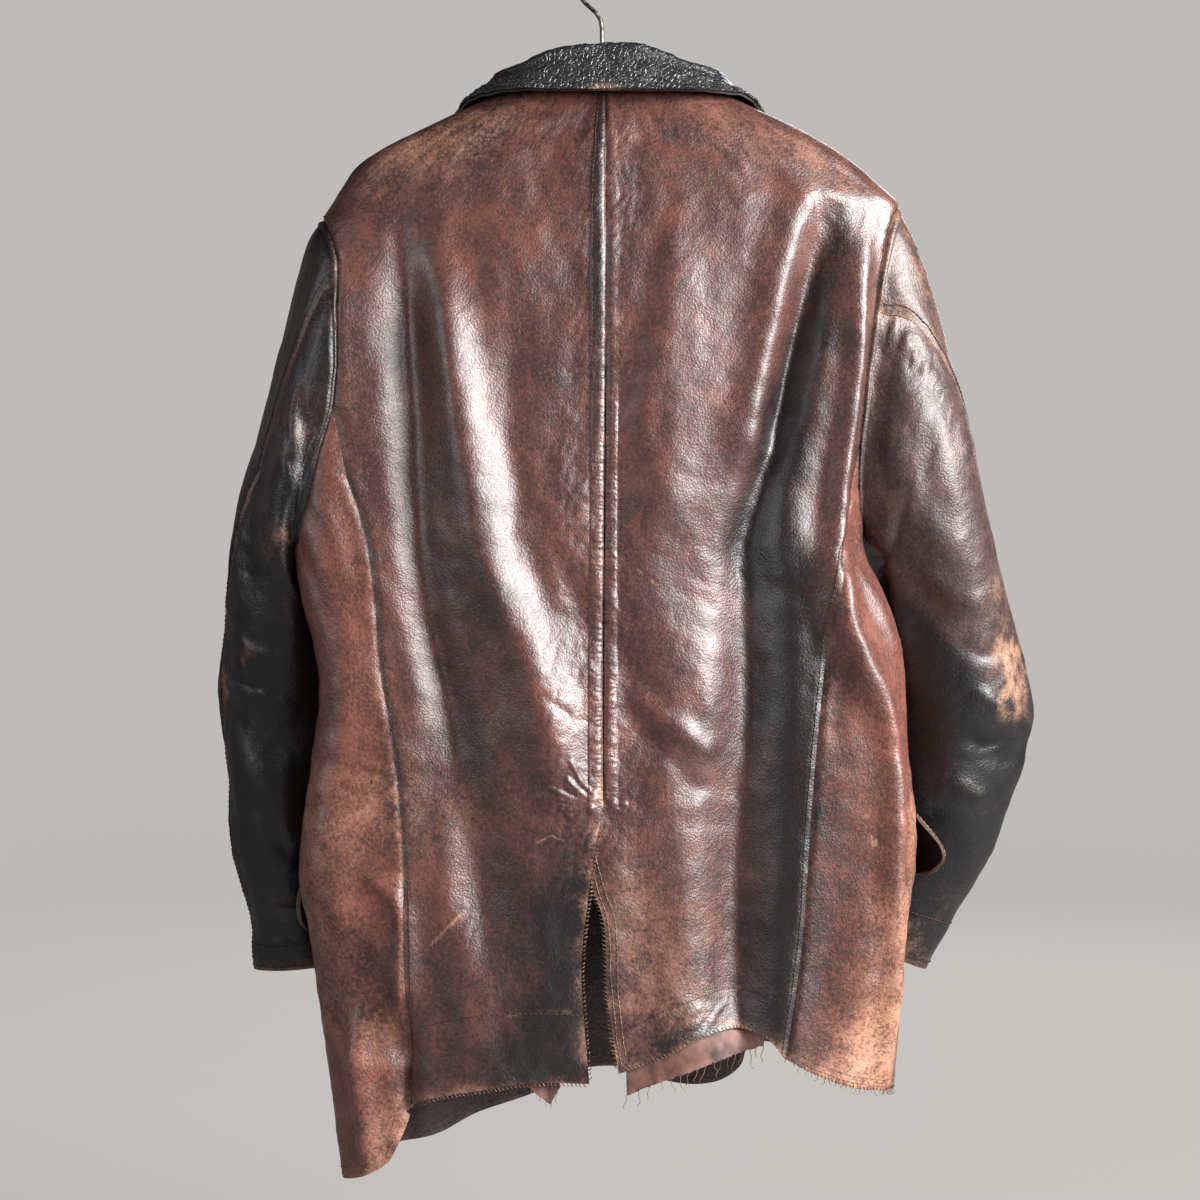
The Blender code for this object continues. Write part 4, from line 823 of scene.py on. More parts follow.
# Boxes where the points are closer together, and closest: lowest and highest girth, then height.
DENSE = (
    (-0.058, 0.030, -0.760, -0.560), (-0.150, -0.108, -0.812, -0.772), (-0.200, -0.176, -0.684, -0.656),
    (0.010, 0.096, -0.905, -0.842), (-0.024, 0.024, -0.570, -0.120),
)
FINEST = (
    (-0.016, 0.014, -0.335, -0.125), (-0.002, 0.032, -0.535, -0.335), (-0.023, 0.008, -0.690, -0.535),
    (-0.064, 0.012, -0.745, -0.650),
)


SEWN, FREE = "sewn", "free"


def panel(name, surface, materials, step, outline, grease_and_shade_share):
    """One cut piece of the body, inside the lines of its outline. It rolls inwards along the sewn lines; the
    free ones are hems and other edges."""
    loop = inset(np.concatenate([line[:-1] for _, line in outline]), SEAM_GAP / 2)
    place, faces = cut_piece(loop, step, DENSE, FINEST)
    sewn, free = (
        np.min([distance_to(line, place) for kind, line in outline if kind == wanted], axis=0)
        for wanted in (SEWN, FREE)
    )
    middle = surface(place)
    roll = -0.0013 * bell(sewn, 0.0022) + 0.0006 * bell(sewn - 0.006, 0.004)
    middle = middle + normals_away(middle, faces, deep_inside(middle)) * roll[:, None]
    scratched = np.zeros(len(place))
    for rows, half, amount in SCRATCHES:
        scratched = np.maximum(scratched, amount * bell(distance_to(np.array(rows), place), half))
    uneven = 0.6 + 0.4 * ripple(place, 8, 0.030, 0.040)
    worn = spots(place, WORN_SPOTS) + 0.16 * uneven * np.exp(-sewn / 0.005)
    worn = np.maximum(worn + 0.50 * uneven * np.exp(-free / 0.006), scratched)
    # Darker with grease on the seam strip, and with grease and painted shade from the spots and the lines.
    grease_and_shade = spots(place, GREASE_AND_SHADE_SPOTS) + 0.65 * seam_strip(place) * smooth((place[:, 1] + 0.46) / 0.20)
    for rows, half, amount in PAINTED_SHADE_LINES:
        grease_and_shade = grease_and_shade + amount * bell(distance_to(np.array(rows), place, 0.07), half)
    marks = {"worn": np.clip(worn, 0, 1), "grease_and_shade": np.clip(grease_and_shade_share * grease_and_shade, 0, 1)}
    return wall(name, middle, faces, deep_inside(middle), LEATHER, materials, marks)


def side_seam(armhole, rows):
    return np.concatenate([round_line(armhole)[-1:], back_line(rows)])


centre = back_line(CENTRE_SEAM, 0.001)
left_side = side_seam(ARMHOLE_LEFT_BACK, LEFT_SIDE_SEAM)
right_side = side_seam(ARMHOLE_RIGHT_BACK, RIGHT_SIDE_SEAM)
left_shoulder, right_shoulder = round_line(SHOULDER_LEFT), round_line(SHOULDER_RIGHT)
PANEL_STEP = 0.0034
FRONT_STEP = PANEL_STEP * 1.25
BACK_LAYERS, FRONT_LAYERS = (BACK_HIDE, INSIDE, RAW_EDGE), (FRONT_HIDE, TURNED_HEM, RAW_EDGE)
cut_panels = []
# Each panel's share of the grease and painted shade is the number before its outline.
for cad_node, surface, materials, step, slot_name, grease_and_shade_share, outline in (
    ("back_left", coat, BACK_LAYERS, PANEL_STEP, "brown_leather", 1.0, (
        (SEWN, back_line(BACK_NECK_LEFT)),
        (SEWN, left_shoulder),
        (SEWN, round_line(ARMHOLE_LEFT_BACK)),
        (SEWN, left_side),
        (FREE, back_line(HEM_BACK_LEFT)[::-1]),
        (FREE, back_line(VENT_LEFT_EDGE)[::-1]),
        (SEWN, centre[::-1]),
    )),
    ("back_right", right_back_surface, BACK_LAYERS, PANEL_STEP, "brown_leather", 1.0, (
        (SEWN, back_line(BACK_NECK_RIGHT)),
        (SEWN, right_shoulder),
        (SEWN, round_line(ARMHOLE_RIGHT_BACK)),
        (SEWN, right_side),
        (FREE, back_line(HEM_BACK_RIGHT)[::-1]),
        (FREE, back_line(VENT_RIGHT_EDGE)[::-1]),
        (SEWN, centre[::-1]),
    )),
    ("front_left", left_front_surface, FRONT_LAYERS, FRONT_STEP, "brown_leather_front", 0.35, (
        (SEWN, round_line(ARMHOLE_LEFT_UNDER)),
        (SEWN, round_line(ARMHOLE_LEFT_FRONT)),
        (SEWN, left_shoulder[::-1]),
        (SEWN, round_line(NECKLINE_LEFT)),
        (FREE, round_line(OVERLAP_TOP_LEFT)),
        (FREE, round_line(OVERLAP_EDGE_LEFT)),
        (FREE, round_line(HEM_FRONT_LEFT)[::-1]),
        (SEWN, left_side[::-1]),
    )),
    ("front_right", coat, FRONT_LAYERS, FRONT_STEP, "brown_leather_front", 0.45, (
        (SEWN, round_line(ARMHOLE_RIGHT_UNDER)),
        (SEWN, round_line(ARMHOLE_RIGHT_FRONT)),
        (SEWN, right_shoulder[::-1]),
        (SEWN, round_line(NECKLINE_RIGHT)),
        (FREE, round_line(OVERLAP_TOP_RIGHT)),
        (FREE, round_line(OVERLAP_EDGE_RIGHT)),
        (FREE, round_line(HEM_FRONT_RIGHT)[::-1]),
        (SEWN, right_side[::-1]),
    )),
):
    item = panel(cad_node + "_panel", surface, materials, step, outline, grease_and_shade_share)
    keep(item, cad_node, slot_name)
    cut_panels.append((item, outline))


# ---- Sleeves ----
# Two-piece sleeves of the same cowhide, near-black, the right one partly with painted shade; the left top
# sleeve is pieced at the elbow.
# Each is cut from a tube that starts at its armhole.
# Rings: outer edge x, z, inner edge x, z, middle y, half depth, in millimetres.
LEFT_RINGS = np.array((
    (-230, -214.5, -251, -488, 5, 60),
    (-243, -235, -254, -497, 8, 64),
    (-262, -300, -252, -506, 13, 69),
    (-282, -372, -248, -518, 19, 71),
    (-303, -440, -241, -536, 28, 70),
    (-315, -505, -232, -562, 40, 66),
    (-322, -565, -228, -596, 51, 61),
    (-326, -615, -227, -636, 60, 57),
    (-321, -680, -230, -692, 69, 55),
    (-315, -745, -230, -750, 77, 52),
    (-303, -800, -224, -798, 86, 49),
    (-299, -845, -220, -838, 91, 47),
)) / 1000
RIGHT_RINGS = np.array((
    (243, -200.5, 216, -468, 5, 60),
    (259, -232, 222, -480, 10, 64),
    (283, -300, 230, -492, 18, 68),
    (303, -370, 230, -506, 26, 70),
    (320, -440, 232, -524, 36, 68),
    (338, -505, 235, -552, 48, 63),
    (353, -560, 241, -590, 58, 60),
    (365, -612, 249, -632, 67, 58),
    (367, -656, 250, -672, 77, 55),
    (352, -702, 244, -706, 88, 52),
    (325, -770, 231, -745, 104, 48),
    (283, -850, 198, -812, 124, 45),
)) / 1000
# The share of the sleeve over which the form of the armhole fades into the plain rings.
BLEND_SHARE = 0.42
SLEEVE_LENGTH = 0.66
SLEEVE_RADIUS = 0.055
ELBOW_SEAM = 0.5
BACK_ARM_SHARE, FRONT_ARM_SHARE = 0.17, 0.66

# Folds: path of (share of the length, degrees from the outer edge over the back), half width, height.
LEFT_SLEEVE_FOLDS = (
    (((0.16, 60), (0.30, 92), (0.40, 128)), 0.024, 0.009),
    (((0.14, 20), (0.30, 44), (0.48, 70)), 0.024, -0.009),
    (((0.60, 0), (0.66, 70), (0.64, 140)), 0.020, -0.005),
)
RIGHT_SLEEVE_FOLDS = (
    (((0.06, 88), (0.22, 72), (0.42, 62), (0.58, 40)), 0.024, 0.006),
    (((0.16, 128), (0.34, 118), (0.52, 100)), 0.024, -0.009),
    (((0.70, -20), (0.73, 40), (0.70, 100)), 0.018, -0.005),
)
# Creases seen on the back of each sleeve: path of (x, height), half width, height outwards, in millimetres.
LEFT_SLEEVE_CREASES = (
    (((-266, -412), (-242, -448), (-246, -474), (-256, -486)), 6, 3),
    (((-292, -300), (-268, -352), (-256, -400)), 10, 2.2),
    (((-276, -330), (-262, -370), (-250, -410)), 7, -1.8),
    (((-300, -380), (-284, -420), (-268, -450)), 8, -2),
    (((-304, -470), (-288, -484), (-270, -490)), 4, 1.6),
    (((-300, -500), (-286, -508), (-268, -506)), 5, -1.8),
    (((-302, -558), (-284, -572), (-262, -572)), 5, 2.2),
    (((-310, -590), (-290, -602), (-266, -598)), 5, -2),
    (((-292, -602), (-270, -612), (-252, -622)), 6, 2.4),
    (((-300, -640), (-276, -652), (-250, -650)), 8, -2.4),
    (((-300, -690), (-280, -712), (-262, -750)), 10, -3),
    (((-286, -780), (-266, -790), (-244, -786)), 6, 1.8),
    (((-280, -810), (-258, -816), (-236, -812)), 5, -1.4),
)
RIGHT_SLEEVE_CREASES = (
    (((242, -312), (256, -330), (270, -350)), 4, 1.8),
    (((246, -326), (262, -348), (280, -364)), 4, -1.6),
    (((236, -340), (252, -366), (268, -384)), 5, 1.6),
    (((230, -380), (244, -420), (262, -456)), 10, 3),
    (((256, -400), (276, -446), (300, -480)), 10, -3),
    (((290, -380), (306, -440), (322, -500)), 12, 2.6),
    (((262, -500), (290, -524), (318, -536)), 8, 3),
    (((290, -560), (316, -574), (340, -572)), 6, -2.4),
    (((306, -600), (330, -616), (352, -620)), 6, 2.4),
    (((300, -640), (326, -650), (350, -640)), 7, -3.4),
    (((290, -672), (310, -690), (334, -696)), 8, 2.6),
    (((246, -738), (266, -734), (290, -740)), 5, -2),
    (((240, -752), (262, -750), (286, -758)), 5, 2),
    (((230, -790), (250, -792), (268, -802)), 6, -1.6),
)
# Puckers above the back seam of the right arm, each (x, height) on the seam and its run up and outwards.
for x, z, run in (
    (216, -290, 10), (224, -302, 14), (232, -315, 12), (241, -326, 16), (250, -336, 12), (259, -344, 15),
    (267, -355, 12), (275, -367, 14), (281, -381, 11), (287, -396, 13), (292, -411, 10), (297, -427, 12),
):
    RIGHT_SLEEVE_CREASES += ((((x, z), (x + 0.45 * run, z + 0.5 * run), (x + 0.8 * run, z + run)), 2.8, 1),)


def ripple_in_space(points, seed, length, stretch=1.6, waves=22):
    """Soft random undulation of points in space, about 1 high, longer downwards."""
    draw = np.random.default_rng(seed)
    total = np.zeros(len(points))
    for _ in range(waves):
        way = draw.normal(size=3)
        way /= np.linalg.norm(way)
        way[2] /= stretch
        size, phase = draw.uniform(0.7, 1.5), draw.uniform(0, 2 * math.pi)
        total += np.sin(2 * math.pi * size / length * (points @ way) + phase)
    return total / math.sqrt(waves / 2)


class Sleeve:
    """A tube from an armhole to a cuff, read at (share of its length, degrees round it)."""

    def __init__(self, rings, folds, creases, armhole):
        self.rings = rings
        self.on_left = rings[0, 0] < 0
        self.start = coat(armhole)
        self.angles = np.linspace(0, 360, len(armhole) + 1)
        self.offset = self.start - self.ring(np.zeros(len(armhole)), self.angles[:-1])
        # Metres for a share of 1, and for one degree.
        self.scale = np.array([SLEEVE_LENGTH, math.radians(1) * SLEEVE_RADIUS])
        self.folds = [(along(rows * self.scale, 0.02), half, height) for rows, half, height in folds]
        share, degrees = np.meshgrid(np.linspace(0.02, 1, 200), np.linspace(4, 176, 130))
        self.chart = np.column_stack([share.ravel(), degrees.ravel()])
        self.seen = self.plain(self.chart)[:, [0, 2]]
        self.creases = []
        for rows, half, height in creases:
            self.creases.append((self.back_line(rows, 0.012) * self.scale, half / 1000, height / 1000))

    def ring(self, share, degrees):
        at = np.linspace(0, 1, len(self.rings))
        ox, oz, ix, iz, y, depth = (through(share, at, column) for column in self.rings.T)
        c = np.cos(np.radians(degrees))
        y = y - depth * np.sin(np.radians(degrees))
        return np.column_stack([(ox + ix) / 2 + (ox - ix) / 2 * c, y, (oz + iz) / 2 + (oz - iz) / 2 * c])

    def middle_line(self, place):
        """The middle of the tube beside each place."""
        share, degrees = place.T
        return (self.ring(share, degrees) + self.ring(share, degrees + 180)) / 2

    def plain(self, place):
        share, degrees = place.T
        fade = 1 - smooth(share / BLEND_SHARE)
        offset = np.concatenate([self.offset, self.offset[:1]])
        shift = read_at(degrees % 360, self.angles, offset)
        return self.ring(share, degrees) + fade[:, None] * shift

    def back_line(self, rows, spacing):
        """A line given in millimetres, as (x, height) on the back of the sleeve, in (share, degrees)."""
        line = along(np.array(rows) / 1000, spacing)
        return np.array([self.chart[((self.seen - point) ** 2).sum(axis=1).argmin()] for point in line])

    def surface(self, place):
        share, degrees = place.T
        points = self.plain(place)
        away = unit(points - self.middle_line(place))
        here = np.column_stack([share, (degrees + 90) % 360 - 90]) * self.scale
        height = heap(here, self.folds, 0.25, 0.25) + heap(here, self.creases, 0.25, 0.25)
        slack = 0.0014 * ripple_in_space(points, 21, 0.085) + 0.0003 * ripple_in_space(points, 22, 0.032, 1.0)
        slack += 0.00014 * ripple_in_space(points, 23, 0.012, 1.0)
        return points + away * (height + slack * smooth(share / 0.06))[:, None]


def grid_faces(rows, width):
    """Triangles of a grid of points given row after row."""
    first = (np.arange(rows - 1)[:, None] * width + np.arange(width - 1)).ravel()
    across, below = first + 1, first + width
    upper, lower = (first, across, below + 1), (first, below + 1, below)
    return np.concatenate([np.column_stack(upper), np.column_stack(lower)])


def sleeve_piece(name, tube, first, last, shares, materials):
    """A cut piece of a sleeve between two arm seams, given as functions of the share, and two shares."""
    across = np.linspace(0, 1, SLEEVE_COLUMNS)
    # Closer together at the seams, where the leather rolls in.
    across = across - 0.03 * np.sin(4 * math.pi * across)
    share, part = np.meshgrid(shares, across, indexing="ij")
    gap = math.degrees(SEAM_GAP / 2 / SLEEVE_RADIUS)
    degrees = first(share) + gap + part * (last(share) - first(share) - 2 * gap)
    place = np.column_stack([share.ravel(), degrees.ravel()])
    middle = tube.surface(place)
    faces = grid_faces(len(shares), SLEEVE_COLUMNS)
    centre = tube.middle_line(place)
    from_head, from_cuff = place[:, 0] * SLEEVE_LENGTH, (1 - place[:, 0]) * SLEEVE_LENGTH
    at_head = shares[0] == 0
    sewn = np.minimum(part, 1 - part).ravel() * np.abs(last(place[:, 0]) - first(place[:, 0])) * tube.scale[1]
    if not at_head:
        sewn = np.minimum(sewn, (place[:, 0] - shares[0]) * SLEEVE_LENGTH)
    if shares[-1] < 1:
        sewn = np.minimum(sewn, (shares[-1] - place[:, 0]) * SLEEVE_LENGTH)
    roll = -0.0013 * bell(sewn, 0.0024) + 0.0007 * bell(sewn - 0.006, 0.004)
    if at_head:
        roll += 0.0016 * bell(from_head - 0.008, 0.006) - 0.0012 * bell(from_head, 0.002)
    middle = middle + normals_away(middle, faces, centre) * roll[:, None]
    worn = 0.26 * np.exp(-sewn / 0.004) + 0.40 * np.exp(-from_cuff / 0.008)
    if at_head:
        worn = worn + 0.32 * np.exp(-from_head / 0.006)
    broken = np.clip(0.75 + 0.5 * ripple_in_space(middle, 31, 0.016, 1.0), 0.1, 1.2)
    x, y, z = middle.T
    for across, height, radius, amount in LEFT_SLEEVE_WORN if tube.on_left else RIGHT_SLEEVE_WORN:
        worn = worn + broken * amount * spot(x - across, z - height, radius)
    # The left sleeve is dark all over, and darker towards the cuff. The right one is dark below a slanting
    # line across the upper arm and on its inner side: partly dark hide, partly painted shade for the shadow
    # under the fold of the upper arm and between the arm and the body.
    if tube.on_left:
        grease_and_shade = 0.70 + 0.30 * smooth((-0.42 - z) / 0.14)
    else:
        shaded_below = -0.277 - 0.98 * x
        grease_and_shade = smooth((shaded_below - z) / 0.026 + 0.5)
        grease_and_shade = np.maximum(0.10 + 0.90 * grease_and_shade, smooth((y - 0.02) / 0.05) * 0.6)
    grease_and_shade = np.clip(grease_and_shade + 0.10 * ripple_in_space(middle, 29, 0.07), 0, 1)
    marks = {"worn": np.clip(worn, 0, 1), "grease_and_shade": grease_and_shade}
    return wall(name, middle, faces, centre, LEATHER, materials, marks)


SLEEVE_HIDE = cowhide(
    "waxed_cowhide_sleeve", "#2c2021", "#4f3a36", "#73574f", "#bd9075", "#060609", 0.42, 0.12, specular=0.65,
)
UNDER_HIDE = cowhide(
    "waxed_cowhide_under_sleeve", "#2a1f20", "#483533", "#6a504b", "#b98c73", "#07070a", 0.42, 0.12,
    specular=0.65,
)
# Rubbed spots: x, height, radius, amount.
LEFT_SLEEVE_WORN = (
    (-0.298, -0.575, 0.012, 0.30), (-0.318, -0.600, 0.012, 0.25), (-0.262, -0.480, 0.014, 0.25),
    (-0.250, -0.395, 0.018, 0.20),
)
RIGHT_SLEEVE_WORN = (
    (0.338, -0.572, 0.018, 0.65), (0.342, -0.612, 0.015, 0.60), (0.352, -0.590, 0.016, 0.40),
    (0.326, -0.520, 0.022, 0.20), (0.300, -0.400, 0.030, 0.20), (0.262, -0.260, 0.030, 0.25),
    (0.246, -0.212, 0.022, 0.30), (0.262, -0.815, 0.014, 0.25),
)


def armhole_loop(*lines):
    return inset(np.concatenate([round_line(rows)[:-1] for rows in lines]), SEAM_GAP)


left_hole = armhole_loop(ARMHOLE_LEFT_BACK, ARMHOLE_LEFT_UNDER, ARMHOLE_LEFT_FRONT)
right_hole = armhole_loop(ARMHOLE_RIGHT_BACK, ARMHOLE_RIGHT_UNDER, ARMHOLE_RIGHT_FRONT)
left_tube = Sleeve(LEFT_RINGS, LEFT_SLEEVE_FOLDS, LEFT_SLEEVE_CREASES, left_hole)
right_tube = Sleeve(RIGHT_RINGS, RIGHT_SLEEVE_FOLDS, RIGHT_SLEEVE_CREASES, right_hole)


def arm_seam(start, end, by):
    """A seam down the sleeve that moves from one number of degrees to another."""
    def seam(share):
        return start + (end - start) * smooth(share / by)
    return seam


left_back_arm = arm_seam(360 * BACK_ARM_SHARE, 14.0, 0.68)
right_back_arm = arm_seam(360 * BACK_ARM_SHARE, -14.0, 0.45)
front_arm = arm_seam(360 * FRONT_ARM_SHARE, 360 * FRONT_ARM_SHARE, 1)
front_arm_before = arm_seam(360 * FRONT_ARM_SHARE - 360, 360 * FRONT_ARM_SHARE - 360, 1)
SLEEVE_STEP = 0.0030
rows_down = 1 + round(SLEEVE_LENGTH / SLEEVE_STEP)
# Enough to go round half the sleeve, whose girth is about 0.36 m, with a few more for the seams.
SLEEVE_COLUMNS = round(0.36 / SLEEVE_STEP) // 2 + 8
whole_shares = np.linspace(0, 1, rows_down) ** 1.06
half_gap = SEAM_GAP / 2 / SLEEVE_LENGTH
near_seam = np.array([0.008, 0.005, 0.0025, half_gap])
above = ELBOW_SEAM - near_seam
below = ELBOW_SEAM + near_seam[::-1]
upper_shares = np.append(np.linspace(0, above[0], rows_down // 2), above[1:])
lower_shares = np.append(below[:-1], np.linspace(below[-1], 1, rows_down // 2))
sleeve_pieces = []
left_top = (left_tube, front_arm_before, left_back_arm)
left_under = (left_tube, left_back_arm, front_arm)
right_top = (right_tube, front_arm_before, right_back_arm)
right_under = (right_tube, right_back_arm, front_arm)
for name, cad_node, (tube, first, last), shares, hide in (
    ("left_top_sleeve", "sleeve_left_top", left_top, upper_shares, SLEEVE_HIDE),
    ("left_top_sleeve_below_elbow", "sleeve_left_top_lower", left_top, lower_shares, SLEEVE_HIDE),
    ("left_under_sleeve", "sleeve_left_under", left_under, whole_shares, UNDER_HIDE),
    ("right_top_sleeve", "sleeve_right_top", right_top, whole_shares, SLEEVE_HIDE),
    ("right_under_sleeve", "sleeve_right_under", right_under, whole_shares, UNDER_HIDE),
):
    item = sleeve_piece(name, tube, first, last, shares, (hide, INSIDE, RAW_EDGE))
    keep(item, cad_node, "dark_leather" if hide is SLEEVE_HIDE else "dark_leather_under")
    sleeve_pieces.append((item, len(shares), "left" if tube.on_left else "right"))


# ---- Collar ----
# Two layers of heavy, cracked, near-black cowhide 1.8 mm thick, sewn to the neck: an under collar that stands
# to the roll, and an upper collar over it.
# Stations: share of the half collar, roll up, roll out, degrees of the edge from the centre back, its height
# and its lift.
COLLAR_STATIONS = np.array([
    (0.00, 0.0300, 0.0060, 0.0, -0.1145, 0.0170),
    (0.13, 0.0250, 0.0060, 14.0, -0.1145, 0.0170),
    (0.24, 0.0120, 0.0050, 36.0, -0.1140, 0.0170),
    (0.34, 0.0070, 0.0060, 60.0, -0.1135, 0.0140),
    (0.44, 0.0060, 0.0070, 80.0, -0.1170, 0.0096),
    (0.54, 0.0050, 0.0080, 102.0, -0.1240, 0.0092),
    (0.66, 0.0050, 0.0090, 131.0, -0.1460, 0.0094),
    (0.80, 0.0050, 0.0100, 154.0, -0.1850, 0.0098),
    (0.92, 0.0050, 0.0100, 162.0, -0.2250, 0.0102),
    (1.00, 0.0050, 0.0100, 165.0, -0.2480, 0.0106),
])
COLLAR_LEATHER = 0.0018
COLLAR_LAYER_GAP = 0.0008
COLLAR_SEAT, COLLAR_SEAT_OUT = 0.0027, 0.0011
COLLAR_FALL_SHARES = (0.30, 0.62)
COLLAR_FULLNESS = 0.0020
COLLAR_LYING_LIFT = 0.0062
COLLAR_LIES_FROM, COLLAR_LIES_FULL = 0.26, 0.46
ROLL_WIDTH = 0.0044
COLLAR_ROWS = 180
COLLAR_ACROSS = 56
# How wide the collar is from seam to edge, and how long from the centre back to one end.
COLLAR_WIDTH, COLLAR_HALF_LENGTH = 0.085, 0.40
CRACK_CELL = 0.0068


def neck_half(back, front):
    """The neck edge of the body from the centre back to one front end, in even steps."""
    seam = np.concatenate([back_line(back)[:-1], round_line(front)])
    run = lengths_along(body(seam))
    return read_at(np.linspace(0, run[-1], COLLAR_ROWS // 2 + 1), run, seam)


def collar_half(seam, side):
    """Knots across the collar at each row from the centre back to one end: neck seam, roll and outer edge."""
    share = np.linspace(0, 1, len(seam))
    at, *columns = COLLAR_STATIONS.T
    up, out, turn, height, lift = (through(share, at, column) for column in columns)
    edge_place = np.column_stack([girth_of(90 + side * turn), height])
    edge = body(edge_place, lift + lap_lift(edge_place))
    seat = body(seam, lap_lift(seam))
    straight_out = unit(body(seam, LEATHER) - body(seam))
    neck = seat + straight_out * COLLAR_SEAT_OUT + (0, 0, COLLAR_SEAT)
    rise = np.column_stack([np.zeros((len(seam), 2)), up])
    roll = neck + rise + straight_out * out[:, None]
    away = unit((edge - roll) * (1, 1, 0.3))
    lying = smooth((share - COLLAR_LIES_FROM) / (COLLAR_LIES_FULL - COLLAR_LIES_FROM))[:, None]
    fall = []
    for part in COLLAR_FALL_SHARES:
        hanging = roll * (1 - part) + edge * part + (0, 0, COLLAR_FULLNESS)
        place = seam * (1 - part) + edge_place * part
        laid = body(place, lift / 2 + COLLAR_LYING_LIFT + lap_lift(place))
        fall.append(hanging * (1 - lying) + laid * lying)
    inner_roll = roll - away * ROLL_WIDTH * 0.27 - rise * 0.06
    outer_roll = roll + away * ROLL_WIDTH * 0.73 + (0, 0, ROLL_WIDTH * 0.23)
    stand = (neck + roll) / 2 - away * ROLL_WIDTH * 0.23
    return np.stack([neck, stand, inner_roll, outer_roll, *fall, edge], axis=1)


def cracked(points, cell, seed):
    """How far each point is from the nearest crack between swollen cells of grain, 0 at a crack."""
    draw = np.random.default_rng(seed)
    low, high = points.min(axis=0) - cell, points.max(axis=0) + cell
    size = np.ceil((high - low) / cell).astype(int)
    jitter = draw.uniform(0.08, 0.92, size=(*(size + 1), 3))
    base = np.floor((points - low) / cell).astype(int)
    nearest, second = np.full(len(points), 9.0), np.full(len(points), 9.0)
    for step in np.ndindex(3, 3, 3):
        cube = np.clip(base + np.array(step) - 1, 0, size)
        centre = low + (cube + jitter[cube[:, 0], cube[:, 1], cube[:, 2]]) * cell
        distance = np.linalg.norm(points - centre, axis=1)
        second = np.minimum(second, np.maximum(nearest, distance))
        nearest = np.minimum(nearest, distance)
    return (second - nearest) / cell


def stitch_line(from_rim):
    """1 along a line of stitches that lies that far from the collar's edge."""
    return bell(rim_distance - from_rim, 0.0012)


left_half = collar_half(neck_half(BACK_NECK_LEFT, NECKLINE_LEFT), 1)
right_half = collar_half(neck_half(BACK_NECK_RIGHT, NECKLINE_RIGHT), -1)
knots = np.concatenate([left_half[::-1], right_half[1:]])
spread = np.array([0, 0.22, 0.40, 0.50, 0.66, 0.82, 1.0])
at_across = np.linspace(0, 1, COLLAR_ACROSS)
collar_grid = np.stack([[through(at_across, spread, line) for line in row.T] for row in knots])
collar_grid = collar_grid.transpose(0, 2, 1)
collar_normal = unit(np.cross(np.gradient(collar_grid, axis=1), np.gradient(collar_grid, axis=0)))
plain_collar, plain_normal = collar_grid.reshape(-1, 3), collar_normal.reshape(-1, 3)
row_share = np.repeat(np.abs(np.linspace(-1, 1, len(knots))), COLLAR_ACROSS)
column_share = np.tile(at_across, len(knots))
# Free where the fall hangs behind the neck; down the fronts it lies between its neighbours.
crumple = 0.0005 * ripple_in_space(plain_collar, 41, 0.060, 1.0)
crumple += 0.0003 * ripple_in_space(plain_collar, 42, 0.022, 1.0)
crumple *= smooth((column_share - 0.30) / 0.25) * (0.35 + 0.65 * (row_share < 0.45))
wander = 0.002 * np.column_stack([ripple_in_space(plain_collar, seed, 0.018, 1.0) for seed in (43, 44, 45)])
swell = 0.0009 * smooth(cracked(plain_collar + wander, CRACK_CELL, 7) / 0.60) - 0.0004
edge_distance = (1 - column_share) * COLLAR_WIDTH
rim_distance = np.minimum(edge_distance, (1 - row_share) * COLLAR_HALF_LENGTH)
stitch_dip = -0.0005 * (stitch_line(0.006) + stitch_line(0.012))
collar_worn = 0.05 * np.exp(-rim_distance / 0.003)
# The dye is rubbed off at the middle of the edge, below the hook.
collar_worn += 0.7 * np.exp(-(((plain_collar[:, 0] - 0.003) / 0.012) ** 2 + (edge_distance / 0.004) ** 2))
collar_marks = {"worn": np.clip(collar_worn, 0, 1), "grease_and_shade": np.full(len(plain_collar), 0.25)}
upper_lift = crumple + (COLLAR_LEATHER + COLLAR_LAYER_GAP) + swell + stitch_dip + 0.0004
# Near-black hide whose colours are lifted to a bluish grey: painted sheen for the cool light on the collar.
COLLAR_HIDE = cowhide(
    "cracked_collar_cowhide", "#1a1b1f", "#2a2a2f", "#403f42", "#9b7258", "#0b0b0e", 0.36, 0.35, 0.55,
)
UNDER_COLLAR_HIDE = cowhide(
    "cowhide_under_collar", "#171417", "#261f20", "#3b2c29", "#8d6247", "#0c0b0e", 0.45, 0.10,
)
collar_layers = []
for cad_node, lift, hide, slot_name in (
    ("under_collar", crumple - 0.0001, UNDER_COLLAR_HIDE, "under_collar_leather"),
    ("upper_collar", upper_lift, COLLAR_HIDE, "collar_leather"),
):
    middle = plain_collar + plain_normal * lift[:, None]
    faces = grid_faces(len(knots), COLLAR_ACROSS)
    below = plain_collar - plain_normal * 0.01
    item = wall(cad_node + "_piece", middle, faces, below, COLLAR_LEATHER, (hide, hide, hide), collar_marks)
    keep(item, cad_node, slot_name)
    collar_layers.append(item)


# ---- Pocket flaps ----
# Each hip pocket has a flap of the front's cowhide, turned and sewn double. It is sewn on along its top, and
# its rear end curls away from the side.
# degrees at the rear and front ends, height of the top seam, depth, how far the rear end stands off
FLAP_ROWS = (
    ("pocket_flap_left", 180.0, 236.0, -0.752, 0.058, 0.008),
    ("pocket_flap_right", 1.0, -56.0, -0.706, 0.056, 0.020),
)
FLAP_BASE = 0.0027
FLAP_BELLY = 0.10
FLAP_CURL = 0.0022
FLAP_WIDTH = 0.110
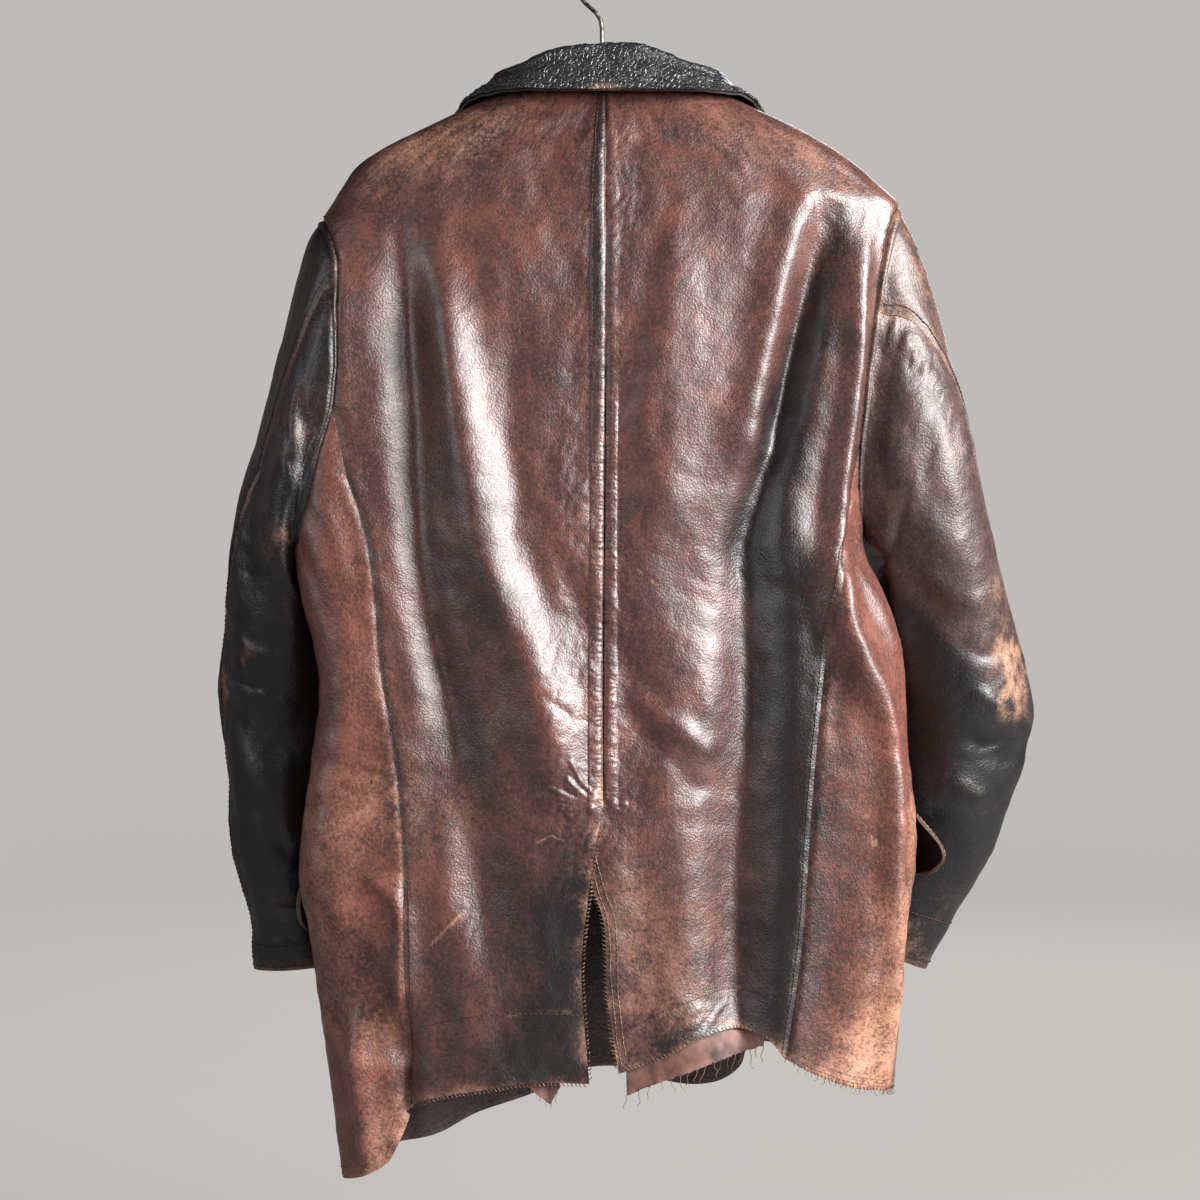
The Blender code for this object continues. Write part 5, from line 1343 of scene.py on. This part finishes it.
# The flat cut is wider and longer than what shows, by what rolls in at the edges.
FLAP_HIDE = cowhide("waxed_cowhide_flap", "#191416", "#302528", "#4f3f3c", "#a59384", "#17131a", 0.40, 0.15)
FLAP_EDGE = flesh_side("dirty_flap_edge", "#7d6c60")
flap_count = 48
flap_edges = []
for cad_node, rear, front, top, depth, stand_off in FLAP_ROWS:
    shares = 1 - (1 - np.linspace(0, 1, flap_count)) ** 1.2
    v, u = (part.ravel() for part in np.meshgrid(shares, np.linspace(0, 1, 2 * flap_count), indexing="ij"))
    belly = FLAP_BELLY * (1 - (2 * u - 1) ** 2)
    height = top - depth * v * (1 - FLAP_BELLY + belly)
    # Both lower corners are rounded.
    corner = 0.10 * (1 - np.sqrt(1 - np.clip((v - 0.62) / 0.38, 0, 1) ** 2 * 0.999))
    share = corner + u * (1 - 2 * corner)
    place = np.column_stack([girth_of(rear + share * (front - rear)), height])
    # The rear end swells out below its seam and curls back in at the bottom.
    bulge = np.sin(math.pi * np.clip(v / 1.15, 0, 1) ** 1.3) * 1.05
    lift = FLAP_BASE + stand_off * bulge * (1 - smooth(2 * u)) + FLAP_CURL * v
    if rear > 90:
        lift = lift + lap_lift(place)
    rim = np.min([u * FLAP_WIDTH, (1 - u) * FLAP_WIDTH, (1 - v) * depth], axis=0)
    lift = lift - 0.0007 * bell(rim, 0.0015) + 0.0005 * bell(rim - 0.0045, 0.002)
    middle = body(place, lift + 0.0003 * ripple(place, 51, 0.018, 0.018))
    faces = grid_faces(flap_count, 2 * flap_count)
    marks = {"worn": np.clip(0.75 * np.exp(-rim / 0.0030), 0, 1), "grease_and_shade": np.full(len(place), 0.3)}
    behind = deep_inside(middle)
    layers = (FLAP_HIDE, INSIDE, FLAP_EDGE)
    item = wall(cad_node + "_piece", middle, faces, behind, 1.5 * LEATHER, layers, marks)
    keep(item, cad_node, "flap_leather")
    normal = normals_away(middle, faces, behind)
    grid, facing = middle.reshape(flap_count, -1, 3), normal.reshape(flap_count, -1, 3)
    for from_edge in (0.0035, 0.0080):
        column = round(from_edge / FLAP_WIDTH * (2 * flap_count - 1))
        row = int(np.argmin(np.abs((1 - shares) * depth - from_edge)))
        path = [(k, column) for k in range(2, row)]
        path += [(row, k) for k in range(column, 2 * flap_count - column)]
        path += [(k, 2 * flap_count - 1 - column) for k in range(row - 1, 1, -1)]
        rows, columns = np.array(path).T
        out = facing[rows, columns]
        flap_edges.append((grid[rows, columns] + out * 0.75 * LEATHER, out))


# ---- Torn lining ----
# Dusty rose satin, torn off above the hem: a wide remnant under the right back and a scrap under the left.
LINING = 0.0005
LINING_RIGHT = (
    (89.2, -850), (89.0, -925), (87.0, -919), (84.5, -913), (77.8, -901), (71.0, -893),
    (65.5, -886), (64.0, -850),
)
# Above this height the remnants are caught in the seam, below it they are torn.
TORN_BELOW = -880
LINING_SCRAP = (
    (95.2, -880), (95.6, -917), (97.2, -931), (99.6, -922), (101.0, -916), (101.0, -880),
)
satin, tree, shader, where = new_material("acetate_satin")
stains = noise(tree, where, 40.0, 5.0, 0.65)
stains = ramp(tree, stains, ((0.34, "#513a37"), (0.50, "#80594f"), (0.66, "#9a7268")))
# The satin's warp threads are 0.2 mm apart and are drawn 0.8 mm apart, to show.
threads = node(tree, "ShaderNodeTexWave", {"bands_direction": "X"}, Vector=where, Scale=390.0, Distortion=1.5)
put(tree, shader, Base_Color=stains, Normal=bumped(tree, threads.outputs[0], 0.25, 0.0003), Roughness=0.45)
put(tree, shader, Sheen_Weight=0.25, Sheen_Roughness=0.4)


def flat_cut(sides):
    """Width and length, and area, of the flat piece inside these lines, each without its last point."""
    points = np.concatenate(sides)
    x, y = points.T
    area = abs((x * np.roll(y, -1) - np.roll(x, -1) * y).sum()) / 2
    return tuple(np.ptp(points, axis=0)), area


lining_draw = np.random.default_rng(61)
for cad_node, rows, drop in (
    ("lining_right", LINING_RIGHT, -0.0036), ("lining_scrap", LINING_SCRAP, -0.0021),
):
    sides = []
    for pair in zip(rows, rows[1:] + rows[:1]):
        side = round_line(pair, 0.0015)[:-1]
        if pair[0][1] < TORN_BELOW and pair[1][1] < TORN_BELOW:
            # The torn edge is ragged.
            side[1:, 1] += lining_draw.uniform(-0.0008, 0.0004, len(side) - 1)
        sides.append(side)
    outline = np.concatenate(sides)
    place, faces = cut_piece(outline, 0.0020)
    hang = drop - 0.0006 + 0.0003 * ripple(place, 62, 0.014, 0.050)
    if cad_node == "lining_right":
        hang = hang + vent_tuck(place)
    middle = body(place, hang + wear_height(place) * 0.6)
    marks = {"worn": np.zeros(len(place)), "grease_and_shade": np.zeros(len(place))}
    item = wall(cad_node + "_satin", middle, faces, deep_inside(middle), LINING, (satin, satin, satin), marks)
    keep(item, cad_node, "lining_satin")


# ---- Hanger ----
# A plain beech bar, cut to the slope of the shoulders and varnished, and a bent steel wire hook 3.7 mm thick.
beech, tree, shader, where = new_material("varnished_beech")
lengthways = node(tree, "ShaderNodeMapping", Vector=where, Scale=(0.12, 1.0, 1.0)).outputs[0]
figure = noise(tree, lengthways, 260.0, 4.0, distortion=0.4)
wood = ramp(tree, figure, ((0.36, "#8a5f3c"), (0.52, "#b08256"), (0.66, "#c79b6c")))
put(tree, shader, Base_Color=wood, Normal=bumped(tree, figure, 0.2, 0.0003), Roughness=0.4, Coat_Weight=0.3)
steel, tree, shader, where = new_material("bright_drawn_steel_wire")
tarnish = noise(tree, where, 220.0, 4.0, 0.6)
put(tree, shader, Base_Color=ramp(tree, tarnish, ((0.38, "#3a3735"), (0.60, "#77736e"))), Metallic=1.0)
put(tree, shader, Roughness=between(tree, tarnish, 0.35, 0.65, 0.28, 0.48))
for cad_node, material in (("hanger_bar", beech), ("hanger_hook", steel)):
    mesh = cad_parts[cad_node].data
    mesh.materials.clear()
    mesh.materials.append(material)


# ---- Buttons ----
# Six horn buttons 27 mm across, turned with a rim and drilled with four holes, sewn on in two columns.
horn, tree, shader, where = new_material("polished_horn")
streaks = noise(tree, where, 150.0, 3.0, distortion=1.5)
layers = ramp(tree, streaks, ((0.40, "#120d0b"), (0.55, "#2a1c15"), (0.70, "#5a3f2c")))
put(tree, shader, Base_Color=layers, Roughness=0.28, IOR=1.54)
for number in range(1, 7):
    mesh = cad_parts[f"button_{number}"].data
    mesh.materials.clear()
    mesh.materials.append(horn)


# ---- Stitching ----
# Waxed linen thread 0.7 mm thick, six stitches to the inch: a single row beside each seam, two rows along
# free edges. Each stitch is a short tube whose ends go down into the leather.
STITCH_PITCH, STITCH_LENGTH = 0.0042, 0.0034
THREAD_RADIUS = 0.00036
STITCH_ALONG = np.array([-0.52, -0.36, 0.0, 0.36, 0.52])
STITCH_ABOVE = np.array([-0.00030, 0.00018, 0.00030, 0.00018, -0.00030])
THREAD_SIDES = 4
ROW_STEP = 0.004
NEAR_SEAM = 0.0006


def waxed_thread(name, code, dark):
    """Waxed linen thread: matt, and twisted, with dirt in its twist."""
    material, tree, shader, where = new_material(name)
    dirt = ramp(tree, noise(tree, where, 90.0, 5.0, 0.7), ((0.38, dark), (0.60, code)))
    twist = node(tree, "ShaderNodeTexWave", {"bands_direction": "DIAGONAL"}, Vector=where, Scale=900.0)
    put(tree, shader, Base_Color=dirt, Normal=bumped(tree, twist.outputs[0], 0.4, 0.0002), Roughness=0.6)
    return material


def tubes(name, paths, radius, material):
    """Many short tubes in one mesh. Paths is an array of (tube, point along it, axis)."""
    count, steps, _ = paths.shape
    run = np.gradient(paths, axis=1)
    run /= np.maximum(np.linalg.norm(run, axis=2), 1e-9)[:, :, None]
    # Across a direction that hardly any thread runs along.
    side = unit(np.cross(run, (0.31, 0.87, 0.38)))
    up = np.cross(side, run)
    turn = np.linspace(0, 2 * math.pi, THREAD_SIDES, endpoint=False)[:, None]
    rings = paths[:, :, None] + radius * (side[:, :, None] * np.cos(turn) + up[:, :, None] * np.sin(turn))
    one = []
    for step in range(steps - 1):
        for k in range(THREAD_SIDES):
            here, next_one = step * THREAD_SIDES + k, step * THREAD_SIDES + (k + 1) % THREAD_SIDES
            one.append((here, here + THREAD_SIDES, next_one + THREAD_SIDES, next_one))
    size = steps * THREAD_SIDES
    one += [tuple(range(THREAD_SIDES)), tuple(range(size - 1, size - THREAD_SIDES - 1, -1))]
    faces = [tuple(k + number * size for k in face) for number in range(count) for face in one]
    mesh = bpy.data.meshes.new(name)
    mesh.from_pydata(rings.reshape(-1, 3).tolist(), [], faces)
    mesh.shade_smooth()
    mesh.materials.append(material)
    item = placed(name, mesh)
    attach(item, "root")
    return item


def outward(surface, place, across=0.0008, up=0.0008):
    """Unit normals of a surface, measured over small steps both ways from each place."""
    du = surface(place + (across, 0)) - surface(place - (across, 0))
    dv = surface(place + (0, up)) - surface(place - (0, up))
    return unit(np.cross(du, dv))


def left_of(line):
    """Unit vectors to the left of a line."""
    run = unit(np.gradient(line, axis=0))
    return np.column_stack([-run[:, 1], run[:, 0]])


def beside(line, distance):
    """The line moved to its left by a distance, in even steps, without its two ends."""
    line = along(line, ROW_STEP)
    trim = int(abs(distance) / ROW_STEP) + 1
    return (line + distance * left_of(line))[trim:-trim]


def stitches(points, normals):
    """Paths of the stitches of one row, whose surface points and normals are given."""
    run = lengths_along(points)
    number = int(run[-1] / STITCH_PITCH)
    at = (np.arange(number) + 0.5)[:, None] * STITCH_PITCH + STITCH_ALONG * STITCH_LENGTH
    return read_at(at, run, points) + read_at(at, run, normals) * STITCH_ABOVE[:, None]


def body_row(surface, line, distance, lift=0.0, both=False):
    """A row of stitches on a panel of the body."""
    place = beside(line, distance)
    points, normals = surface(place), outward(surface, place)
    rows = [stitches(points + normals * (LEATHER / 2 + lift), normals)]
    if both:
        rows.append(stitches(points - normals * (LEATHER / 2 + lift), -normals))
    return np.concatenate(rows)


def down(rows):
    """A line that runs downwards, or from left to right where it is level."""
    if abs(rows[0][1] - rows[-1][1]) > abs(rows[0][0] - rows[-1][0]):
        return rows if rows[0][1] > rows[-1][1] else rows[::-1]
    return rows if rows[0][0] < rows[-1][0] else rows[::-1]


DARK_THREAD = waxed_thread("dark_waxed_linen", "#5a453c", "#231b19")
PALE_THREAD = waxed_thread("worn_waxed_linen", "#a88d78", "#54423a")
HEM_THREAD = waxed_thread("hem_waxed_linen", "#94745f", "#3c2d28")
back_rows = [
    body_row(coat, down(centre)[:330], -0.0108, 0.0001),
    body_row(coat, down(left_side), 0.0036, NEAR_SEAM),
    body_row(right_back_surface, down(right_side), -0.0036, NEAR_SEAM),
    body_row(coat, down(round_line(ARMHOLE_LEFT_BACK)), 0.0034, NEAR_SEAM),
    body_row(right_back_surface, down(round_line(ARMHOLE_RIGHT_BACK)), -0.0034, NEAR_SEAM),
    body_row(coat, back_line(BACK_NECK_LEFT), 0.0045, 0.0002),
    body_row(right_back_surface, back_line(BACK_NECK_RIGHT), -0.0045, 0.0002),
    body_row(coat, back_line(((-10, -859), (-60, -858), (-110, -862), (-156, -874))), 0.0),
    body_row(
        right_back_surface, back_line(((14, -874), (46, -858), (80, -846), (108, -842), (150, -850))), 0.0,
    ),
]
tubes("back_stitching", np.concatenate(back_rows), THREAD_RADIUS, DARK_THREAD)
vent_line = down(back_line(VENT_RIGHT_EDGE))
pale_rows = [body_row(right_back_surface, vent_line, 0.0036), body_row(right_back_surface, vent_line, 0.0086)]
tubes("vent_stitching", np.concatenate(pale_rows), THREAD_RADIUS, PALE_THREAD)
front_rows = []
for surface, hem, edge, top, under, over, inwards in (
    (left_front_surface, HEM_FRONT_LEFT, OVERLAP_EDGE_LEFT, OVERLAP_TOP_LEFT,
     ARMHOLE_LEFT_UNDER, ARMHOLE_LEFT_FRONT, -1),
    (coat, HEM_FRONT_RIGHT, OVERLAP_EDGE_RIGHT, OVERLAP_TOP_RIGHT,
     ARMHOLE_RIGHT_UNDER, ARMHOLE_RIGHT_FRONT, 1),
):
    for distance in (0.0040, 0.0090):
        front_rows.append(body_row(surface, round_line(hem), inwards * distance, both=True))
        front_rows.append(body_row(surface, round_line(edge), inwards * distance))
    front_rows.append(body_row(surface, round_line(top), inwards * 0.0045))
    front_rows.append(body_row(surface, round_line(under), inwards * 0.0034, NEAR_SEAM))
    front_rows.append(body_row(surface, round_line(over), inwards * 0.0034, NEAR_SEAM))
front_rows += [stitches(points, normals) for points, normals in flap_edges]
tubes("front_stitching", np.concatenate(front_rows), THREAD_RADIUS, PALE_THREAD)


def sleeve_row(tube, share, degrees):
    place = np.column_stack(np.broadcast_arrays(share, degrees))
    points = tube.surface(place)
    normals = outward(tube.surface, place, 0.0012, 0.8)
    normals *= np.sign(((points - tube.middle_line(place)) * normals).sum(axis=1))[:, None]
    return stitches(points + normals * (LEATHER / 2 + NEAR_SEAM), normals)


share_line = np.linspace(0.015, 0.985, 170)
from_seam = math.degrees(0.0032 / SLEEVE_RADIUS)
sleeve_rows = []
for tube, back_arm in ((left_tube, left_back_arm), (right_tube, right_back_arm)):
    sleeve_rows.append(sleeve_row(tube, share_line, back_arm(share_line) - from_seam))
    sleeve_rows.append(sleeve_row(tube, share_line, front_arm(share_line) + from_seam))
    for from_cuff in (0.0050, 0.0300):
        sleeve_rows.append(sleeve_row(tube, 1 - from_cuff / SLEEVE_LENGTH, np.linspace(0, 359, 120)))
elbow_turns = np.linspace(front_arm_before(0.5) + 3, left_back_arm(0.5) - 3, 60)
for share in (ELBOW_SEAM - 0.0055, ELBOW_SEAM + 0.0055):
    sleeve_rows.append(sleeve_row(left_tube, share, elbow_turns))
tubes("sleeve_stitching", np.concatenate(sleeve_rows), THREAD_RADIUS, DARK_THREAD)

# The collar's rows follow its outer edge and its two ends.
COLLAR_THREAD = waxed_thread("black_waxed_linen", "#4a4342", "#151316")
collar_top = plain_collar + plain_normal * (upper_lift + COLLAR_LEATHER / 2)[:, None]
collar_top = collar_top.reshape(collar_grid.shape)
collar_rows = []
for from_edge in (0.0045, 0.0095):
    column = int(np.argmin(np.abs((1 - at_across) * COLLAR_WIDTH - from_edge)))
    ends = max(2, round(from_edge / COLLAR_HALF_LENGTH * len(knots) / 2))
    collar_rows.append(stitches(collar_top[ends:-ends, column], collar_normal[ends:-ends, column]))
tubes("collar_stitching", np.concatenate(collar_rows), THREAD_RADIUS * 1.2, COLLAR_THREAD)


# ---- Whip-stitched hems ----
# The back hems, both edges of the vent and part of the right front's hem are overcast with a light waxed
# thread that slants over the raw edge.
WHIP_PITCH = 0.0034
WHIP_REACH = 0.0026
WHIP_STEP = 0.0015
# One stitch: steps along the edge, share of the reach, share of the leather's half thickness.
WHIP_LEGS = np.array((
    (0.0, 1.0, -0.3), (0.1, 0.92, 0.75), (0.6, 0.45, 1.05), (1.0, 0.02, 1.0), (1.2, -0.10, 0.0),
    (1.2, 0.02, -1.0), (1.0, 0.6, -1.05), (0.9, 0.9, -0.6),
))
whip_draw = np.random.default_rng(71)


def whip(surface, line, inwards):
    """Slanting stitches over an edge. Inwards is 1 where the piece lies to the left of the line."""
    line = along(line, WHIP_STEP)
    into = inwards * left_of(line)
    count = int(len(line) * WHIP_STEP / WHIP_PITCH) - 1
    paths = []
    for k in range(1, count):
        start = k * WHIP_PITCH / WHIP_STEP + whip_draw.uniform(-0.3, 0.3)
        reach = WHIP_REACH * whip_draw.uniform(0.8, 1.15)
        at = np.clip(start + WHIP_LEGS[:, 0], 0, len(line) - 1.001)
        steps = np.arange(len(line))
        here = read_at(at, steps, line) + read_at(at, steps, into) * (reach * WHIP_LEGS[:, 1])[:, None]
        lift = WHIP_LEGS[:, 2] * (LEATHER / 2 + 0.0002)
        paths.append(surface(here) + outward(surface, here) * lift[:, None])
    return np.array(paths)


whips = [
    whip(coat, back_line(HEM_BACK_LEFT), 1), whip(coat, back_line(VENT_LEFT_EDGE), 1),
    whip(right_back_surface, back_line(HEM_BACK_RIGHT), 1),
    whip(right_back_surface, back_line(VENT_RIGHT_EDGE), -1),
    whip(coat, round_line(HEM_FRONT_RIGHT[:4]), 1),
]
tubes("hem_overcasting", np.concatenate(whips), THREAD_RADIUS, HEM_THREAD)


# ---- Loose threads ----
# Warp and weft pulled out of the torn satin, and linen ends at the right hem: fine, limp and curled.
thread_draw = np.random.default_rng(81)


def loose_threads(name, starts, longest, curl, radius, material):
    paths = []
    for x, y, z in starts:
        length = longest * thread_draw.uniform(0.45, 1.0)
        turn, phase = thread_draw.uniform(-0.5, 0.5), thread_draw.uniform(0, 6.28)
        t = np.linspace(0, 1, 9)
        sideways = length * (turn * 0.5 * t + curl * 0.10 * np.sin(phase + 7 * t) * t)
        depth = length * 0.08 * np.cos(phase + 5 * t) * t
        paths.append(np.column_stack([x + sideways, y + depth, z - length * t * (1 - 0.25 * curl * t)]))
    return tubes(name, np.array(paths), radius, material)


torn_edge = round_line(LINING_RIGHT[1:7], 0.0075)
torn_points = body(torn_edge, -0.0042 + vent_tuck(torn_edge)) + (0, 0, 0.0012)
satin_threads = loose_threads("satin_threads", torn_points, 0.022, 0.9, 0.00028, satin)
scrap_edge = round_line(LINING_SCRAP[1:5], 0.0050)
scrap_points = body(scrap_edge, -0.0027) + (0, 0, 0.0012)
scrap_threads = loose_threads("scrap_threads", scrap_points, 0.008, 0.8, 0.00022, satin)
hem_ends = round_line(HEM_FRONT_RIGHT[:4], 0.0095)
hem_points = coat(hem_ends) + (0, 0, 0.0010)
loose_threads("linen_ends", hem_points, 0.012, 1.6, 0.00026, PALE_THREAD)


# ---- Flat sizes of the cut pieces ----
# Each is what was cut before sewing; a sleeve's piece is measured over its length and its widest girth.
for item, outline in cut_panels:
    size, area = flat_cut([line[:-1] for _, line in outline])


def developed(item, rows):
    """Width, length and area of a piece laid flat, along the rows and columns of points on its outer face."""
    points = np.empty(3 * len(item.data.vertices))
    item.data.vertices.foreach_get("co", points)
    grid = points.reshape(2, rows, -1, 3)[0]
    down, over = np.linalg.norm(np.diff(grid, axis=0), axis=2), np.linalg.norm(np.diff(grid, axis=1), axis=2)
    area = ((down[:, :-1] + down[:, 1:]) * (over[:-1] + over[1:]) / 4).sum()
    return (float(over.sum(axis=1).max()), float(down.sum(axis=0).max())), float(area)


for item, rows, side in sleeve_pieces:
    size, area = developed(item, rows)
for item in collar_layers:
    size, area = developed(item, len(knots))


# ---- Floor, backdrop and light ----
# A pale paper floor that sweeps up into a wall all round. Two large soft lamps light the coat from the right,
# one from the far side, and a weak one from the left.
FLOOR = -1.16
FLOOR_RADIUS, SWEEP_RADIUS, WALL_HEIGHT = 3.6, 0.7, 2.6
STAGE_SIDES = 96
bend = np.linspace(0, math.pi / 2, 12)
profile = [(0.0, 0.0)] + [(r, 0.0) for r in (0.9, 1.8, 2.7)]
profile += [(FLOOR_RADIUS + SWEEP_RADIUS * math.sin(a), SWEEP_RADIUS * (1 - math.cos(a))) for a in bend]
profile.append((FLOOR_RADIUS + SWEEP_RADIUS, WALL_HEIGHT))
spokes = np.linspace(0, 2 * math.pi, STAGE_SIDES, endpoint=False)
points = [(0.0, 0.0, FLOOR)]
points += [(r * math.cos(a), r * math.sin(a), FLOOR + z) for r, z in profile[1:] for a in spokes]
faces = [(0, 1 + k, 1 + (k + 1) % STAGE_SIDES) for k in range(STAGE_SIDES)]
for ring in range(len(profile) - 2):
    for k in range(STAGE_SIDES):
        here, across = 1 + ring * STAGE_SIDES + k, 1 + ring * STAGE_SIDES + (k + 1) % STAGE_SIDES
        faces.append((here, here + STAGE_SIDES, across + STAGE_SIDES, across))
mesh = bpy.data.meshes.new("sweep")
mesh.from_pydata(points, [], faces)
mesh.shade_smooth()
sweep = placed("sweep", mesh)
paper = bpy.data.materials.new("matt_paper_backdrop")
paper.use_nodes = True
tree = paper.node_tree
shader = tree.nodes["Principled BSDF"]
put(tree, shader, Base_Color=colour("#8f8c89"), Roughness=0.95)
# The camera sees the paper pale and even; the leather is lit by it as by a dim room.
glow = node(tree, "ShaderNodeEmission", Color=colour("#d2cfcb"), Strength=1.0).outputs[0]
seen = node(tree, "ShaderNodeLightPath").outputs["Is Camera Ray"]
both = node(tree, "ShaderNodeMixShader", n0=times(tree, seen, 0.75), n1=shader.outputs[0], n2=glow).outputs[0]
tree.links.new(both, tree.nodes["Material Output"].inputs["Surface"])
paper.cycles.emission_sampling = "NONE"
mesh.materials.append(paper)


def lamp(name, place, size, watts, tint):
    """A soft lamp aimed at the middle of the coat."""
    data = bpy.data.lights.new(name, "AREA")
    data.shape = "RECTANGLE"
    data.size, data.size_y = size
    data.energy = watts
    data.color = tint
    item = placed(name, data)
    item.location = place
    item.rotation_euler = (Vector((0.0, 0.0, -0.5)) - Vector(place)).to_track_quat("-Z", "Y").to_euler()
    item.visible_camera = False


lamp("key_lamp", (2.35, -1.3, 0.45), (1.2, 1.6), 185.0, (1.0, 0.995, 0.985))
lamp("window_lamp", (1.35, -2.2, 0.5), (1.1, 1.6), 22.0, (1.0, 0.995, 0.985))
lamp("left_lamp", (-2.3, -1.3, 0.2), (1.0, 1.6), 15.0, (0.95, 0.97, 1.0))
lamp("back_lamp", (0.6, 2.6, 0.6), (1.6, 1.6), 40.0, (1.0, 0.99, 0.97))
world = bpy.data.worlds.new("even_light")
world.use_nodes = True
world.node_tree.nodes["Background"].inputs["Color"].default_value = colour("#dfe3ec")
world.node_tree.nodes["Background"].inputs["Strength"].default_value = 0.05
bpy.context.scene.world = world
bpy.context.scene.view_settings.view_transform = "Standard"
